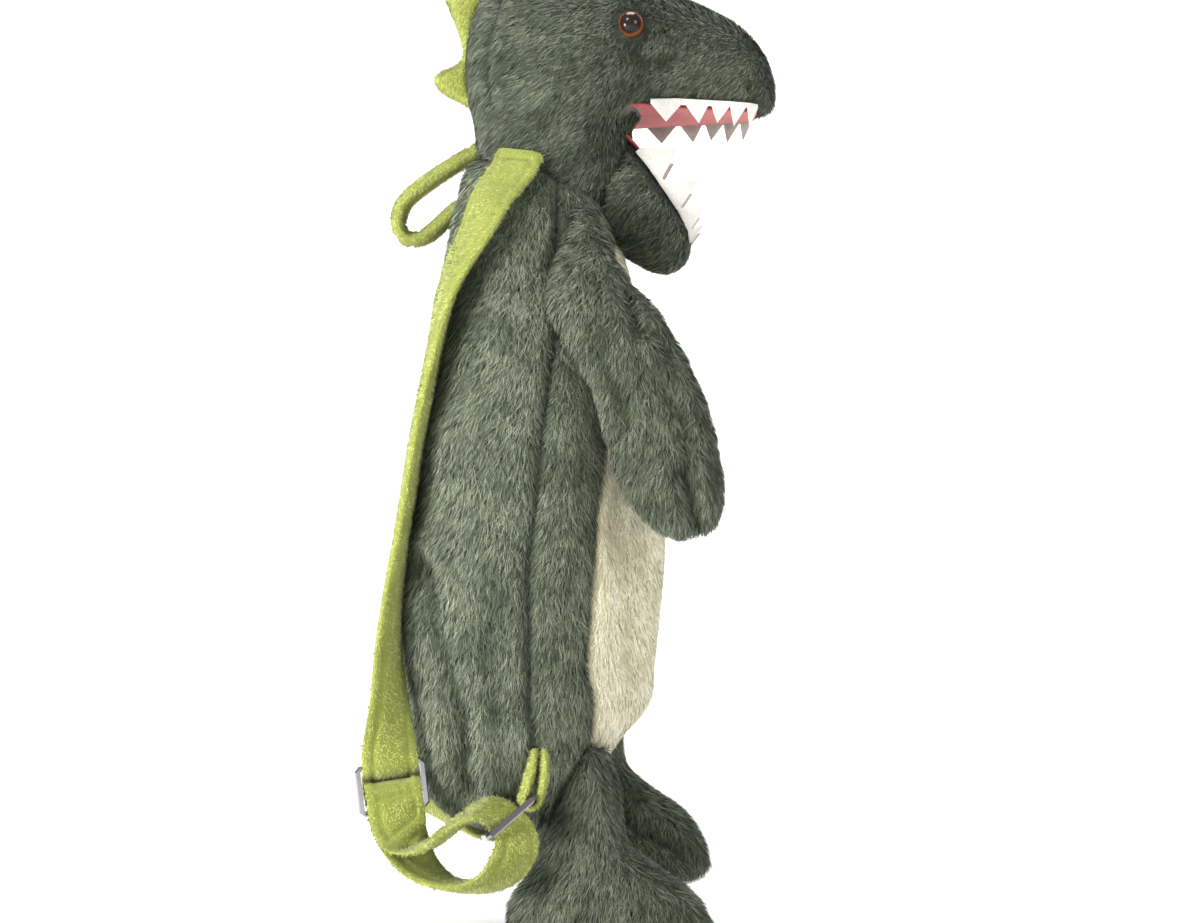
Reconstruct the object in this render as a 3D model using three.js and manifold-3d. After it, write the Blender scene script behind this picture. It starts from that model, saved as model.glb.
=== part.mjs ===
// Plush T-rex backpack for a child, seen in its hanging shape.
// Units are millimetres. +X is forward (the snout), +Y is the animal's left, +Z is up.
// The origin lies where the back panel rests on the wearer's back.
import * as THREE from 'three';
import { mergeVertices } from 'three/addons/utils/BufferGeometryUtils.js';
import Module from 'manifold-3d';

const wasm = await Module();
wasm.setup();

// Driving sizes of the bag
const BODY_HEIGHT = 330;
const BODY_DEPTH = 124;
const BODY_WIDTH = 150;
const BODY_BOTTOM = -172;
const WALL = 3;
const CLEAR = 0.3;
// Driving sizes of the head
const HEAD_LENGTH = 151;
const HEAD_HEIGHT = 92;
const HEAD_WIDTH = 116;
const HEAD_BACK = 22.5;
const LIP_HEIGHT = 181;
const JAW_LENGTH = 68;
const JAW_DEPTH = 34;
const JAW_WIDTH = 58;
const JAW_DROP = 46;
const FELT = 1.6;
const TOOTH_LENGTH = 9.5;
const LOWER_TOOTH_LENGTH = 11;
const EYE_DIAMETER = 15.5;
const EYE_DOME = 6.5;
const CREST_REACH = 26;
const CREST_THICKNESS = 13;
// Driving sizes of the limbs
const ARM_LENGTH = 161;
const ARM_BREADTH = 84.6;
const ARM_THICKNESS = 27;
const LEG_LENGTH = 109;
const LEG_BREADTH = 102.7;
const LEG_THICKNESS = 50;
const LEG_SPREAD = 37;
const FAR_LEG_RISE = 26;
const SOLE_THICKNESS = 2;
// Driving sizes of the straps and their hardware
const STRAP_WIDTH = 27;
const STRAP_THICKNESS = 6;
const WEBBING = 1.8;
const WIRE_RADIUS = 1.3;
const SLIDER_PITCH = 10.5;
const SLIDER_PLAY = 0.6;
const RING_LENGTH = 30;
const RING_DEPTH = 18;
const RING_WIRE = 1.5;
const TAB_THICKNESS = 3.4;
const GRAB_WIDTH = 15;
const GRAB_THICKNESS = 8;
// Driving sizes of the zip
const ZIP_SLOT = 8;
const ZIP_LENGTH = 190;
const COIL_WIDTH = 3.6;
const COIL_RISE = 1.3;
const ZIP_PULL_LENGTH = 22;

// Body sections: height, back and front of the depth, half width
const BODY_ROWS = [
  { up: 0.000, back: 0.400, front: 0.520, half: 0.38 },
  { up: 0.009, back: 0.275, front: 0.605, half: 0.60 },
  { up: 0.024, back: 0.180, front: 0.665, half: 0.70 },
  { up: 0.052, back: 0.105, front: 0.710, half: 0.79 },
  { up: 0.085, back: 0.060, front: 0.765, half: 0.86 },
  { up: 0.125, back: 0.037, front: 0.835, half: 0.90 },
  { up: 0.170, back: 0.027, front: 0.935, half: 0.93 },
  { up: 0.235, back: 0.010, front: 0.963, half: 0.96 },
  { up: 0.310, back: 0.000, front: 0.985, half: 0.98 },
  { up: 0.400, back: 0.018, front: 1.003, half: 1.00 },
  { up: 0.470, back: 0.048, front: 1.000, half: 0.99 },
  { up: 0.575, back: 0.072, front: 0.986, half: 0.97 },
  { up: 0.660, back: 0.115, front: 0.962, half: 0.90 },
  { up: 0.760, back: 0.146, front: 0.895, half: 0.80 },
  { up: 0.855, back: 0.185, front: 0.835, half: 0.68 },
  { up: 0.920, back: 0.220, front: 0.790, half: 0.58 },
  { up: 0.970, back: 0.262, front: 0.735, half: 0.46 },
  { up: 1.000, back: 0.340, front: 0.640, half: 0.30 },
];
const BODY_BACK = -7;
const BODY_SIDES = 24;

// Side seam: height and place in the depth
const SIDE_SEAM = [
  { up: -0.05, deep: 0.560 },
  { up: 0.110, deep: 0.525 },
  { up: 0.200, deep: 0.496 },
  { up: 0.390, deep: 0.496 },
  { up: 0.465, deep: 0.522 },
  { up: 0.580, deep: 0.548 },
  { up: 0.712, deep: 0.597 },
  { up: 1.050, deep: 0.600 },
];

// Belly leaf: height and share of the half width
const BELLY_LEAF = [
  { up: 0.075, wide: 0.00 },
  { up: 0.086, wide: 0.36 },
  { up: 0.104, wide: 0.56 },
  { up: 0.130, wide: 0.72 },
  { up: 0.165, wide: 0.83 },
  { up: 0.240, wide: 0.89 },
  { up: 0.460, wide: 0.89 },
  { up: 0.640, wide: 0.80 },
  { up: 0.760, wide: 0.62 },
  { up: 0.850, wide: 0.38 },
  { up: 0.900, wide: 0.14 },
  { up: 0.915, wide: 0.00 },
];

// Smooth reading of a table column between its rows
function read(rows, key, column, at) {
  const last = rows.length - 1;
  if (at <= rows[0][key]) return rows[0][column];
  if (at >= rows[last][key]) return rows[last][column];
  let i = 0;
  while (rows[i + 1][key] < at) i += 1;
  const t = (at - rows[i][key]) / (rows[i + 1][key] - rows[i][key]);
  return rows[i][column] * (1 - t) + rows[i + 1][column] * t;
}

function mirrored(points) {
  return points.map((p) => new THREE.Vector3(p.x, -p.y, p.z));
}

// Closed solid through rings of equal count, with a flat fan at each end
function loft(rings) {
  const count = rings[0].length;
  const points = [];
  const index = [];
  for (const ring of rings) for (const p of ring) points.push(p.x, p.y, p.z);
  for (let r = 0; r < rings.length - 1; r += 1) {
    for (let i = 0; i < count; i += 1) {
      const j = (i + 1) % count;
      const a = r * count + i;
      const b = r * count + j;
      index.push(a, b, b + count, a, b + count, a + count);
    }
  }
  for (const [r, flip] of [[0, true], [rings.length - 1, false]]) {
    const centre = rings[r].reduce((sum, p) => sum.add(p), new THREE.Vector3()).divideScalar(count);
    const c = points.length / 3;
    points.push(centre.x, centre.y, centre.z);
    for (let i = 0; i < count; i += 1) {
      const j = (i + 1) % count;
      if (flip) index.push(c, r * count + j, r * count + i);
      else index.push(c, r * count + i, r * count + j);
    }
  }
  let volume = 0;
  const at = (k) => new THREE.Vector3(points[3 * k], points[3 * k + 1], points[3 * k + 2]);
  for (let k = 0; k < index.length; k += 3) {
    volume += at(index[k]).dot(at(index[k + 1]).cross(at(index[k + 2])));
  }
  if (volume < 0) {
    for (let k = 0; k < index.length; k += 3) [index[k], index[k + 1]] = [index[k + 1], index[k]];
  }
  const geometry = new THREE.BufferGeometry();
  geometry.setAttribute('position', new THREE.Float32BufferAttribute(points, 3));
  geometry.setIndex(index);
  return geometry;
}

function solid(geometry) {
  const bare = geometry.clone();
  bare.deleteAttribute('normal');
  bare.deleteAttribute('uv');
  const merged = mergeVertices(bare, 1e-3);
  return new wasm.Manifold(new wasm.Mesh({
    numProp: 3,
    vertProperties: new Float32Array(merged.attributes.position.array),
    triVerts: new Uint32Array(merged.index.array),
  }));
}

// The largest body of a solid, as a geometry
function geometryOf(manifold) {
  const pieces = manifold.decompose();
  pieces.sort((a, b) => b.volume() - a.volume());
  const mesh = pieces[0].getMesh();
  const geometry = new THREE.BufferGeometry();
  geometry.setAttribute('position', new THREE.Float32BufferAttribute(mesh.vertProperties, 3));
  geometry.setIndex(Array.from(mesh.triVerts));
  return geometry;
}

// Rounded section with its own exponent in front and behind
function oval(x0, x1, half, z, sides, squareBack, squareFront, flatBack, y0 = 0) {
  const ring = [];
  const centre = (x0 + x1) / 2;
  const reach = (x1 - x0) / 2;
  for (let i = 0; i < sides; i += 1) {
    const angle = (2 * Math.PI * i) / sides;
    const c = Math.cos(angle);
    const s = Math.sin(angle);
    const power = 2 / (c < 0 ? squareBack : squareFront);
    let x = centre + Math.sign(c) * reach * Math.abs(c) ** power * (c < 0 ? flatBack : 1);
    x = Math.max(x, x0);
    ring.push(new THREE.Vector3(x, y0 + Math.sign(s) * half * Math.abs(s) ** power, z));
  }
  return ring;
}

const bodyZ = (up) => BODY_BOTTOM + BODY_HEIGHT * up;
const bodyX = (deep) => BODY_BACK + BODY_DEPTH * deep;

// Outer form of the bag, grown or shrunk evenly
function bodyForm(grow) {
  const last = BODY_ROWS.length - 1;
  const shares = BODY_ROWS.map((row) => row.up);
  return loft(shares.map((up, i) => {
    const row = BODY_ROWS[i];
    const lift = i === 0 ? -grow : i === last ? grow : grow * (up - 0.5);
    return oval(
      bodyX(row.back) - grow, bodyX(row.front) + grow, (BODY_WIDTH / 2) * row.half + grow,
      bodyZ(up) + lift, BODY_SIDES, 2.5, 2.1, 1.08,
    );
  }));
}

// Upright prism between two outlines along Y
function prismY(outline, y0, y1) {
  return loft([y0, y1].map((y) => outline.map(([x, z]) => new THREE.Vector3(x, y, z))));
}

// Prism along X from an outline of Y and Z
function prismX(outline, x0, x1) {
  return loft([x0, x1].map((x) => outline.map(([y, z]) => new THREE.Vector3(x, y, z))));
}

// Strip with a flattened six-sided section along stations of place, turn, width and thickness
function strip(stations) {
  const rings = stations.map((s, i) => {
    const before = stations[Math.max(i - 1, 0)].p;
    const after = stations[Math.min(i + 1, stations.length - 1)].p;
    const along = after.clone().sub(before).normalize();
    const across = s.w.clone().addScaledVector(along, -s.w.dot(along)).normalize();
    const out = across.clone().cross(along).normalize();
    const w = s.wide / 2;
    const t = s.thick / 2;
    return [[-w, 0], [-w + t, -t], [w - t, -t], [w, 0], [w - t, t], [-w + t, t]].map(([a, b]) => (
      s.p.clone().addScaledVector(across, a).addScaledVector(out, b)));
  });
  return loft(rings);
}

const group = new THREE.Group();
group.name = 'plush_trex_backpack';

const LOOKS = {
  green: { color: 0x6f7763, roughness: 1.0, metalness: 0 },
  cream: { color: 0xd8d4b6, roughness: 1.0, metalness: 0 },
  lime: { color: 0xb4b95c, roughness: 1.0, metalness: 0 },
  felt: { color: 0xf8f8f4, roughness: 1.0, metalness: 0 },
  mouth: { color: 0xc45550, roughness: 1.0, metalness: 0 },
  eye: { color: 0x2a1c18, roughness: 0.1, metalness: 0 },
  chrome: { color: 0xc8cacc, roughness: 0.2, metalness: 1 },
  zip: { color: 0x3c3540, roughness: 0.8, metalness: 0 },
};
const materials = Object.fromEntries(Object.entries(LOOKS).map(([name, look]) => (
  [name, new THREE.MeshStandardMaterial(look)])));

function add(name, geometry, look) {
  geometry.computeVertexNormals();
  const mesh = new THREE.Mesh(geometry, materials[look]);
  mesh.name = name;
  group.add(mesh);
}

// The bag: an outer form with its hollow, parted along the seams
const bodyOuter = solid(bodyForm(0));
const bodyKeepOut = solid(bodyForm(CLEAR));
const bodyInner = solid(bodyForm(-WALL));
const shell = bodyOuter.subtract(bodyInner);

const seamHalf = CLEAR / 2;
const reachY = BODY_WIDTH;
const behindSeam = (shift) => solid(prismY([
  ...SIDE_SEAM.map((row) => [bodyX(row.deep) + shift, bodyZ(row.up)]),
  [bodyX(-1), bodyZ(1.05)], [bodyX(-1), bodyZ(-0.05)],
], -reachY, reachY));

const leafOutline = (grow) => {
  const right = [];
  for (const row of BELLY_LEAF) {
    const half = read(BODY_ROWS, 'up', 'half', row.up) * (BODY_WIDTH / 2);
    right.push([row.wide * half + (row.wide > 0 ? grow : 0), bodyZ(row.up)]);
  }
  right[0][1] -= grow;
  right[right.length - 1][1] += grow;
  const left = right.slice(1, -1).reverse().map(([y, z]) => [-y, z]);
  return [...right, ...left];
};
const leaf = (grow) => solid(prismX(leafOutline(grow), bodyX(0.52), bodyX(1.2)));

const zipBottom = bodyZ(0.52) - ZIP_LENGTH * 0.56;
const slotPrism = (half, end) => solid(prismY([
  [bodyX(-0.4), zipBottom - end], [bodyX(0.4), zipBottom - end],
  [bodyX(0.4), zipBottom + ZIP_LENGTH + end], [bodyX(-0.4), zipBottom + ZIP_LENGTH + end],
], -half, half));

const backHalf = shell.intersect(behindSeam(-seamHalf));
const frontHalf = shell.subtract(behindSeam(seamHalf)).subtract(leaf(seamHalf));
add('back_panel', geometryOf(backHalf.subtract(slotPrism(ZIP_SLOT / 2, 0))), 'green');
const sideBlock = (side) => solid(prismY([
  [bodyX(-1), bodyZ(-0.2)], [bodyX(2), bodyZ(-0.2)], [bodyX(2), bodyZ(1.2)], [bodyX(-1), bodyZ(1.2)],
], side > 0 ? seamHalf : -reachY, side > 0 ? reachY : -seamHalf));
add('side_panel_right', geometryOf(frontHalf.intersect(sideBlock(-1))), 'green');
add('side_panel_left', geometryOf(frontHalf.intersect(sideBlock(1))), 'green');
add('belly_panel', geometryOf(shell.intersect(leaf(-seamHalf))), 'cream');

// The zip: tapes in the slot with the closed coil raised on them
const tape = shell.intersect(slotPrism(ZIP_SLOT / 2 - CLEAR, -CLEAR));
const coil = solid(bodyForm(COIL_RISE)).subtract(solid(bodyForm(-0.4)))
  .intersect(slotPrism(COIL_WIDTH / 2, -CLEAR - 2));
add('zip_chain', geometryOf(tape.add(coil)), 'zip');

const bodyBackAt = (z) => bodyX(read(BODY_ROWS, 'up', 'back', (z - BODY_BOTTOM) / BODY_HEIGHT));
const zipSliderZ = zipBottom + ZIP_LENGTH * 0.39;
const ZIP_SLIDER_LENGTH = 11;
const ZIP_SLIDER_WIDTH = 8;
const ZIP_SLIDER_RISE = 2.6;
const zipFace = bodyBackAt(zipSliderZ) - COIL_RISE;
const zipSliderForm = (x0, x1, half, z0, z1) => solid(prismY([
  [x0, z0], [x1, z0], [x1, z1], [x0, z1],
], -half, half));
const zipSlider = zipSliderForm(
  zipFace - ZIP_SLIDER_RISE, zipFace + COIL_RISE, ZIP_SLIDER_WIDTH / 2,
  zipSliderZ - ZIP_SLIDER_LENGTH / 2, zipSliderZ + ZIP_SLIDER_LENGTH / 2,
).subtract(solid(bodyForm(COIL_RISE + CLEAR)).intersect(slotPrism(COIL_WIDTH / 2 + CLEAR, 0)))
  .subtract(bodyKeepOut);
// A bridge on the slider holds the pull
const BRIDGE = 1.4;
const bridgeOut = zipFace - ZIP_SLIDER_RISE;
const bridge = zipSliderForm(bridgeOut - 3 * BRIDGE, bridgeOut + 0.2, BRIDGE * 0.7,
  zipSliderZ - 3.6, zipSliderZ + 3.6)
  .subtract(zipSliderForm(bridgeOut - 2 * BRIDGE, bridgeOut, BRIDGE, zipSliderZ - 2.2, zipSliderZ + 2.2));
add('zip_slider', geometryOf(zipSlider.add(bridge)), 'chrome');
const pullX = bridgeOut - BRIDGE;
const pullTop = zipSliderZ + 1.7;
const pull = zipSliderForm(pullX - 0.6, pullX + 0.6, 2.9, pullTop - ZIP_PULL_LENGTH, pullTop)
  .subtract(zipSliderForm(pullX - 2, pullX + 2, BRIDGE * 0.7 + CLEAR, pullTop - 1.4 - 3.4, pullTop - 1.4))
  .subtract(bridge);
add('zip_pull', geometryOf(pull), 'chrome');


// Head sections along the snout: place, crown and underside in the height, half width
const HEAD_ROWS = [
  { on: 0.000, top: 0.420, under: 0.240, half: 0.20 },
  { on: 0.015, top: 0.620, under: 0.020, half: 0.50 },
  { on: 0.050, top: 0.780, under: -0.140, half: 0.72 },
  { on: 0.110, top: 0.900, under: -0.230, half: 0.86 },
  { on: 0.200, top: 0.980, under: -0.240, half: 0.96 },
  { on: 0.310, top: 1.000, under: -0.220, half: 1.00 },
  { on: 0.420, top: 0.990, under: -0.140, half: 0.97 },
  { on: 0.500, top: 0.955, under: -0.050, half: 0.89 },
  { on: 0.580, top: 0.890, under: -0.020, half: 0.78 },
  { on: 0.680, top: 0.780, under: 0.000, half: 0.67 },
  { on: 0.780, top: 0.690, under: 0.000, half: 0.60 },
  { on: 0.865, top: 0.600, under: 0.000, half: 0.54 },
  { on: 0.930, top: 0.490, under: 0.000, half: 0.47 },
  { on: 0.975, top: 0.350, under: -0.020, half: 0.38 },
  { on: 1.000, top: 0.190, under: 0.010, half: 0.22 },
];
const HEAD_TOP = 74;
const HEAD_SIDES = 20;
const headX = (on) => HEAD_BACK + HEAD_LENGTH * on;
const headZ = (up) => LIP_HEIGHT - 3 + HEAD_TOP * up;

// A cross section of the head: rounded above, flatter at the lip
function headRing(row, grow) {
  const top = headZ(row.top) + grow;
  const under = headZ(row.under) - grow;
  const half = (HEAD_WIDTH / 2) * row.half + grow;
  const middle = under + (top - under) * 0.42;
  const ring = [];
  for (let i = 0; i < HEAD_SIDES; i += 1) {
    const angle = (2 * Math.PI * i) / HEAD_SIDES;
    const c = Math.cos(angle);
    const s = Math.sin(angle);
    const power = 2 / (s < 0 ? 5 : 2.1);
    ring.push(new THREE.Vector3(
      headX(row.on), Math.sign(c) * half * Math.abs(c) ** power,
      middle + (s < 0 ? middle - under : top - middle) * Math.sign(s) * Math.abs(s) ** power,
    ));
  }
  return ring;
}
const headForm = (grow) => loft(HEAD_ROWS.map((row, i) => {
  const ring = headRing(row, grow);
  const last = HEAD_ROWS.length - 1;
  const shift = i === 0 ? -grow : i === last ? grow : 0;
  return ring.map((p) => new THREE.Vector3(p.x + shift, p.y, p.z));
}));

// Neck sections from the shoulders to the skull: height, back, front, half width
const NECK_ROWS = [
  { up: 0.00, back: 0.24, front: 0.88, half: 0.48 },
  { up: 0.30, back: 0.12, front: 0.94, half: 0.66 },
  { up: 0.55, back: 0.06, front: 1.00, half: 0.78 },
  { up: 0.80, back: 0.05, front: 1.00, half: 0.84 },
  { up: 1.00, back: 0.08, front: 0.96, half: 0.86 },
];
const NECK_LOW = bodyZ(0.86);
const NECK_HIGH = headZ(0.16);
const neckForm = (grow) => loft(NECK_ROWS.map((row) => oval(
  headX(0) + HEAD_LENGTH * 0.54 * row.back - grow, headX(0) + HEAD_LENGTH * 0.54 * row.front + grow,
  (HEAD_WIDTH / 2) * row.half + grow, NECK_LOW + (NECK_HIGH - NECK_LOW) * row.up, 20, 2.3, 2.1, 1,
)));

// Lower jaw sections from the throat to the chin: place, upper and lower edge, half width
const JAW_ROWS = [
  { on: 0.00, upper: 0.60, lower: -0.60, half: 0.92 },
  { on: 0.16, upper: 0.62, lower: -0.78, half: 1.00 },
  { on: 0.36, upper: 0.56, lower: -0.76, half: 1.00 },
  { on: 0.56, upper: 0.46, lower: -0.66, half: 0.96 },
  { on: 0.74, upper: 0.37, lower: -0.58, half: 0.90 },
  { on: 0.88, upper: 0.26, lower: -0.50, half: 0.80 },
  { on: 0.97, upper: 0.10, lower: -0.36, half: 0.62 },
  { on: 1.00, upper: -0.04, lower: -0.22, half: 0.40 },
];
const JAW_START = new THREE.Vector3(headX(0.39), 0, LIP_HEIGHT - 29);
const jawAlong = new THREE.Vector3(Math.sqrt(JAW_LENGTH ** 2 - JAW_DROP ** 2), 0, -JAW_DROP).normalize();
const jawUp = new THREE.Vector3(-jawAlong.z, 0, jawAlong.x);
const jawPoint = (on, up, y) => JAW_START.clone()
  .addScaledVector(jawAlong, JAW_LENGTH * on).addScaledVector(jawUp, JAW_DEPTH * up)
  .add(new THREE.Vector3(0, y, 0));
const jawForm = (grow) => loft(JAW_ROWS.map((row, i) => {
  const ring = [];
  const shift = i === JAW_ROWS.length - 1 ? grow / JAW_LENGTH : 0;
  for (let k = 0; k < 18; k += 1) {
    const angle = (2 * Math.PI * k) / 18;
    const c = Math.cos(angle);
    const s = Math.sin(angle);
    const power = 2 / (s > 0 ? 5 : 2.2);
    const side = Math.sign(c) * ((JAW_WIDTH / 2) * row.half + grow) * Math.abs(c) ** power;
    const middle = (row.upper + row.lower) / 2;
    const reach = (row.upper - row.lower) / 2 + grow / JAW_DEPTH;
    ring.push(jawPoint(row.on + shift, middle + reach * Math.sign(s) * Math.abs(s) ** power, side));
  }
  return ring;
}));

// Mouth lining: felt on the palate, folded at the corner and laid on the jaw
const palateZ = headZ(0) - CLEAR - FELT / 2;
const MOUTH_ROWS = [
  { on: 0.945, wide: 0.58 },
  { on: 0.900, wide: 0.76 },
  { on: 0.800, wide: 0.86 },
  { on: 0.680, wide: 0.90 },
  { on: 0.580, wide: 0.94 },
  { on: 0.530, wide: 0.94 },
];
const JAW_FELT_ROWS = [
  { on: 0.10, wide: 0.86 },
  { on: 0.36, wide: 0.86 },
  { on: 0.56, wide: 0.84 },
  { on: 0.74, wide: 0.80 },
  { on: 0.86, wide: 0.66 },
];
const headHalfAt = (on) => (HEAD_WIDTH / 2) * read(HEAD_ROWS, 'on', 'half', on);
const LIP_SHARE = 0.80;
const TOOTH_FELT = 2.0;
const lipY = (on) => headHalfAt(on) * LIP_SHARE;
const jawEdge = (on) => (JAW_WIDTH / 2) * read(JAW_ROWS, 'on', 'half', on) * 0.80;
const jawTop = (on) => read(JAW_ROWS, 'on', 'upper', on);
const sideways = new THREE.Vector3(0, 1, 0);
const feltGap = (CLEAR + FELT / 2) / JAW_DEPTH;
const mouthStations = [
  ...MOUTH_ROWS.map((row) => ({
    p: new THREE.Vector3(headX(row.on), 0, palateZ), w: sideways, thick: FELT,
    wide: 2 * (lipY(row.on) - TOOTH_FELT - 2 * CLEAR) * row.wide / 0.94,
  })),
  { p: new THREE.Vector3(headX(0.485), 0, palateZ - 5), w: sideways, thick: FELT, wide: JAW_WIDTH * 0.78 },
  { p: new THREE.Vector3(headX(0.480), 0, palateZ - 11), w: sideways, thick: FELT, wide: JAW_WIDTH * 0.74 },
  ...JAW_FELT_ROWS.map((row) => ({
    p: jawPoint(row.on, jawTop(row.on) + feltGap, 0), w: sideways, thick: FELT,
    wide: 2 * (jawEdge(row.on) - TOOTH_FELT - 2 * CLEAR) * row.wide / 0.86,
  })),
];
const mouthLining = solid(strip(mouthStations));
const mouthKeepOut = solid(strip(mouthStations.map((s) => (
  { ...s, thick: s.thick + 2 * CLEAR, wide: s.wide + 2 * CLEAR }))));

const headSolid = solid(headForm(0)).add(solid(neckForm(0)))
  .subtract(bodyKeepOut).subtract(mouthKeepOut);
const headKeepOut = solid(headForm(CLEAR)).add(solid(neckForm(CLEAR)));
const jawSolid = solid(jawForm(0)).subtract(headKeepOut).subtract(bodyKeepOut).subtract(mouthKeepOut);
const jawKeepOut = solid(jawForm(CLEAR));
add('head', geometryOf(headSolid), 'green');
add('lower_jaw', geometryOf(jawSolid), 'green');
add('mouth_lining', geometryOf(mouthLining.subtract(bodyKeepOut)), 'mouth');

// Felt teeth: a band under the lip whose free edge rises and falls
const UPPER_TEETH = [
  { from: 0.592, tip: 0.642, to: 0.690, long: 0.90 },
  { from: 0.706, tip: 0.748, to: 0.778, long: 0.92 },
  { from: 0.790, tip: 0.808, to: 0.848, long: 0.86 },
  { from: 0.850, tip: 0.862, to: 0.902, long: 1.00 },
  { from: 0.906, tip: 0.914, to: 0.942, long: 0.98 },
];
const LOWER_TEETH = [
  { from: 0.22, tip: 0.40, to: 0.48, long: 1.30 },
  { from: 0.50, tip: 0.66, to: 0.72, long: 1.25 },
  { from: 0.73, tip: 0.83, to: 0.88, long: 1.00 },
  { from: 0.885, tip: 0.915, to: 0.945, long: 0.80 },
];
const BAND = 3.2;
const ROOT = 2.2;
function toothStations(rows) {
  const stations = [];
  for (const row of rows) {
    stations.push({ on: row.from, long: 0 }, { on: row.tip, long: row.long }, { on: row.to, long: 0 });
  }
  return stations;
}
function toothBand(place, side, rows, length) {
  return loft(toothStations(rows).map((s) => {
    const { p, down, out } = place(s.on);
    const depth = BAND + length * s.long;
    const thin = TOOTH_FELT * (s.long > 0 ? 0.55 : 1);
    const ring = [
      p.clone(), p.clone().addScaledVector(out, -TOOTH_FELT),
      p.clone().addScaledVector(out, -TOOTH_FELT / 2 - thin / 2).addScaledVector(down, depth),
      p.clone().addScaledVector(out, -TOOTH_FELT / 2 + thin / 2).addScaledVector(down, depth),
    ];
    return side < 0 ? mirrored(ring) : ring;
  }));
}
const upperPlace = (on) => ({
  p: new THREE.Vector3(headX(on), lipY(on) + TOOTH_FELT / 2, headZ(0) + ROOT),
  down: new THREE.Vector3(0, 0.06, -1).normalize(),
  out: new THREE.Vector3(0, 1, 0),
});
const lowerPlace = (on) => ({
  p: jawPoint(on, jawTop(on) - ROOT / JAW_DEPTH, jawEdge(on) + TOOTH_FELT / 2),
  down: jawUp.clone().addScaledVector(jawAlong, 0.12).addScaledVector(sideways, 0.06).normalize(),
  out: new THREE.Vector3(0, 1, 0),
});
for (const [side, word] of [[-1, 'right'], [1, 'left']]) {
  const upper = solid(toothBand(upperPlace, side, UPPER_TEETH, TOOTH_LENGTH)).subtract(headKeepOut)
    .subtract(mouthKeepOut);
  add(`upper_teeth_${word}`, geometryOf(upper), 'felt');
  const lower = solid(toothBand(lowerPlace, side, LOWER_TEETH, LOWER_TOOTH_LENGTH))
    .subtract(jawKeepOut).subtract(mouthKeepOut).subtract(headKeepOut);
  add(`lower_teeth_${word}`, geometryOf(lower), 'felt');
}

// Glossy domed eyes on the cheeks
const EYE_ON = 0.523;
const EYE_UP = 0.46;
const eyeHalf = headHalfAt(EYE_ON);
for (const [side, word] of [[-1, 'right'], [1, 'left']]) {
  const profile = [];
  for (let i = 0; i <= 5; i += 1) {
    const angle = (Math.PI / 2) * (i / 5);
    profile.push(new THREE.Vector2((EYE_DIAMETER / 2) * Math.cos(angle), EYE_DOME * Math.sin(angle)));
  }
  profile[5].x = 0;
  const points = [new THREE.Vector2(0, -EYE_DOME), new THREE.Vector2(EYE_DIAMETER / 2, -EYE_DOME), ...profile];
  const dome = new THREE.LatheGeometry(points, 14);
  if (side < 0) dome.rotateX(Math.PI);
  dome.rotateX(side * 0.04);
  dome.rotateZ(-side * 0.20);
  dome.translate(headX(EYE_ON), side * (eyeHalf - 1.8), headZ(EYE_UP));
  add(`eye_${word}`, geometryOf(solid(dome).subtract(headKeepOut)), 'eye');
}


// Spiked crest along the nape and over the crown
const CREST_OUTLINE = [
  { on: 0.020, up: -0.024 }, { on: -0.106, up: 0.087 }, { on: -0.129, up: 0.152 },
  { on: -0.120, up: 0.185 }, { on: -0.026, up: 0.253 }, { on: -0.028, up: 0.340 },
  { on: -0.050, up: 0.435 }, { on: -0.084, up: 0.587 }, { on: -0.109, up: 0.674 },
  { on: -0.089, up: 0.712 }, { on: 0.004, up: 0.668 }, { on: 0.012, up: 0.750 },
  { on: 0.030, up: 0.880 }, { on: 0.064, up: 1.022 }, { on: 0.096, up: 1.040 },
  { on: 0.180, up: 0.880 }, { on: 0.235, up: 0.913 }, { on: 0.318, up: 1.030 },
  { on: 0.361, up: 1.033 }, { on: 0.434, up: 0.830 }, { on: 0.400, up: 0.640 },
  { on: 0.240, up: 0.640 }, { on: 0.120, up: 0.520 }, { on: 0.060, up: 0.320 },
  { on: 0.060, up: 0.060 },
];
const crestEase = CREST_REACH / 26;
const crestShape = new THREE.Shape(CREST_OUTLINE.map((row) => new THREE.Vector2(
  headX(row.on < 0.06 ? 0.02 + (row.on - 0.02) * crestEase : row.on), LIP_HEIGHT + HEAD_HEIGHT * row.up)));
const CREST_EDGE = CREST_THICKNESS * 0.28;
const crestForm = new THREE.ExtrudeGeometry(crestShape, {
  depth: CREST_THICKNESS - 2 * CREST_EDGE, steps: 1, curveSegments: 1, bevelEnabled: true,
  bevelThickness: CREST_EDGE, bevelSize: CREST_EDGE * 0.8, bevelOffset: -CREST_EDGE * 0.8, bevelSegments: 1,
});
crestForm.rotateX(Math.PI / 2);
crestForm.translate(0, CREST_THICKNESS / 2 - CREST_EDGE, 0);
add('crest', geometryOf(solid(crestForm).subtract(headKeepOut)), 'lime');

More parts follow.
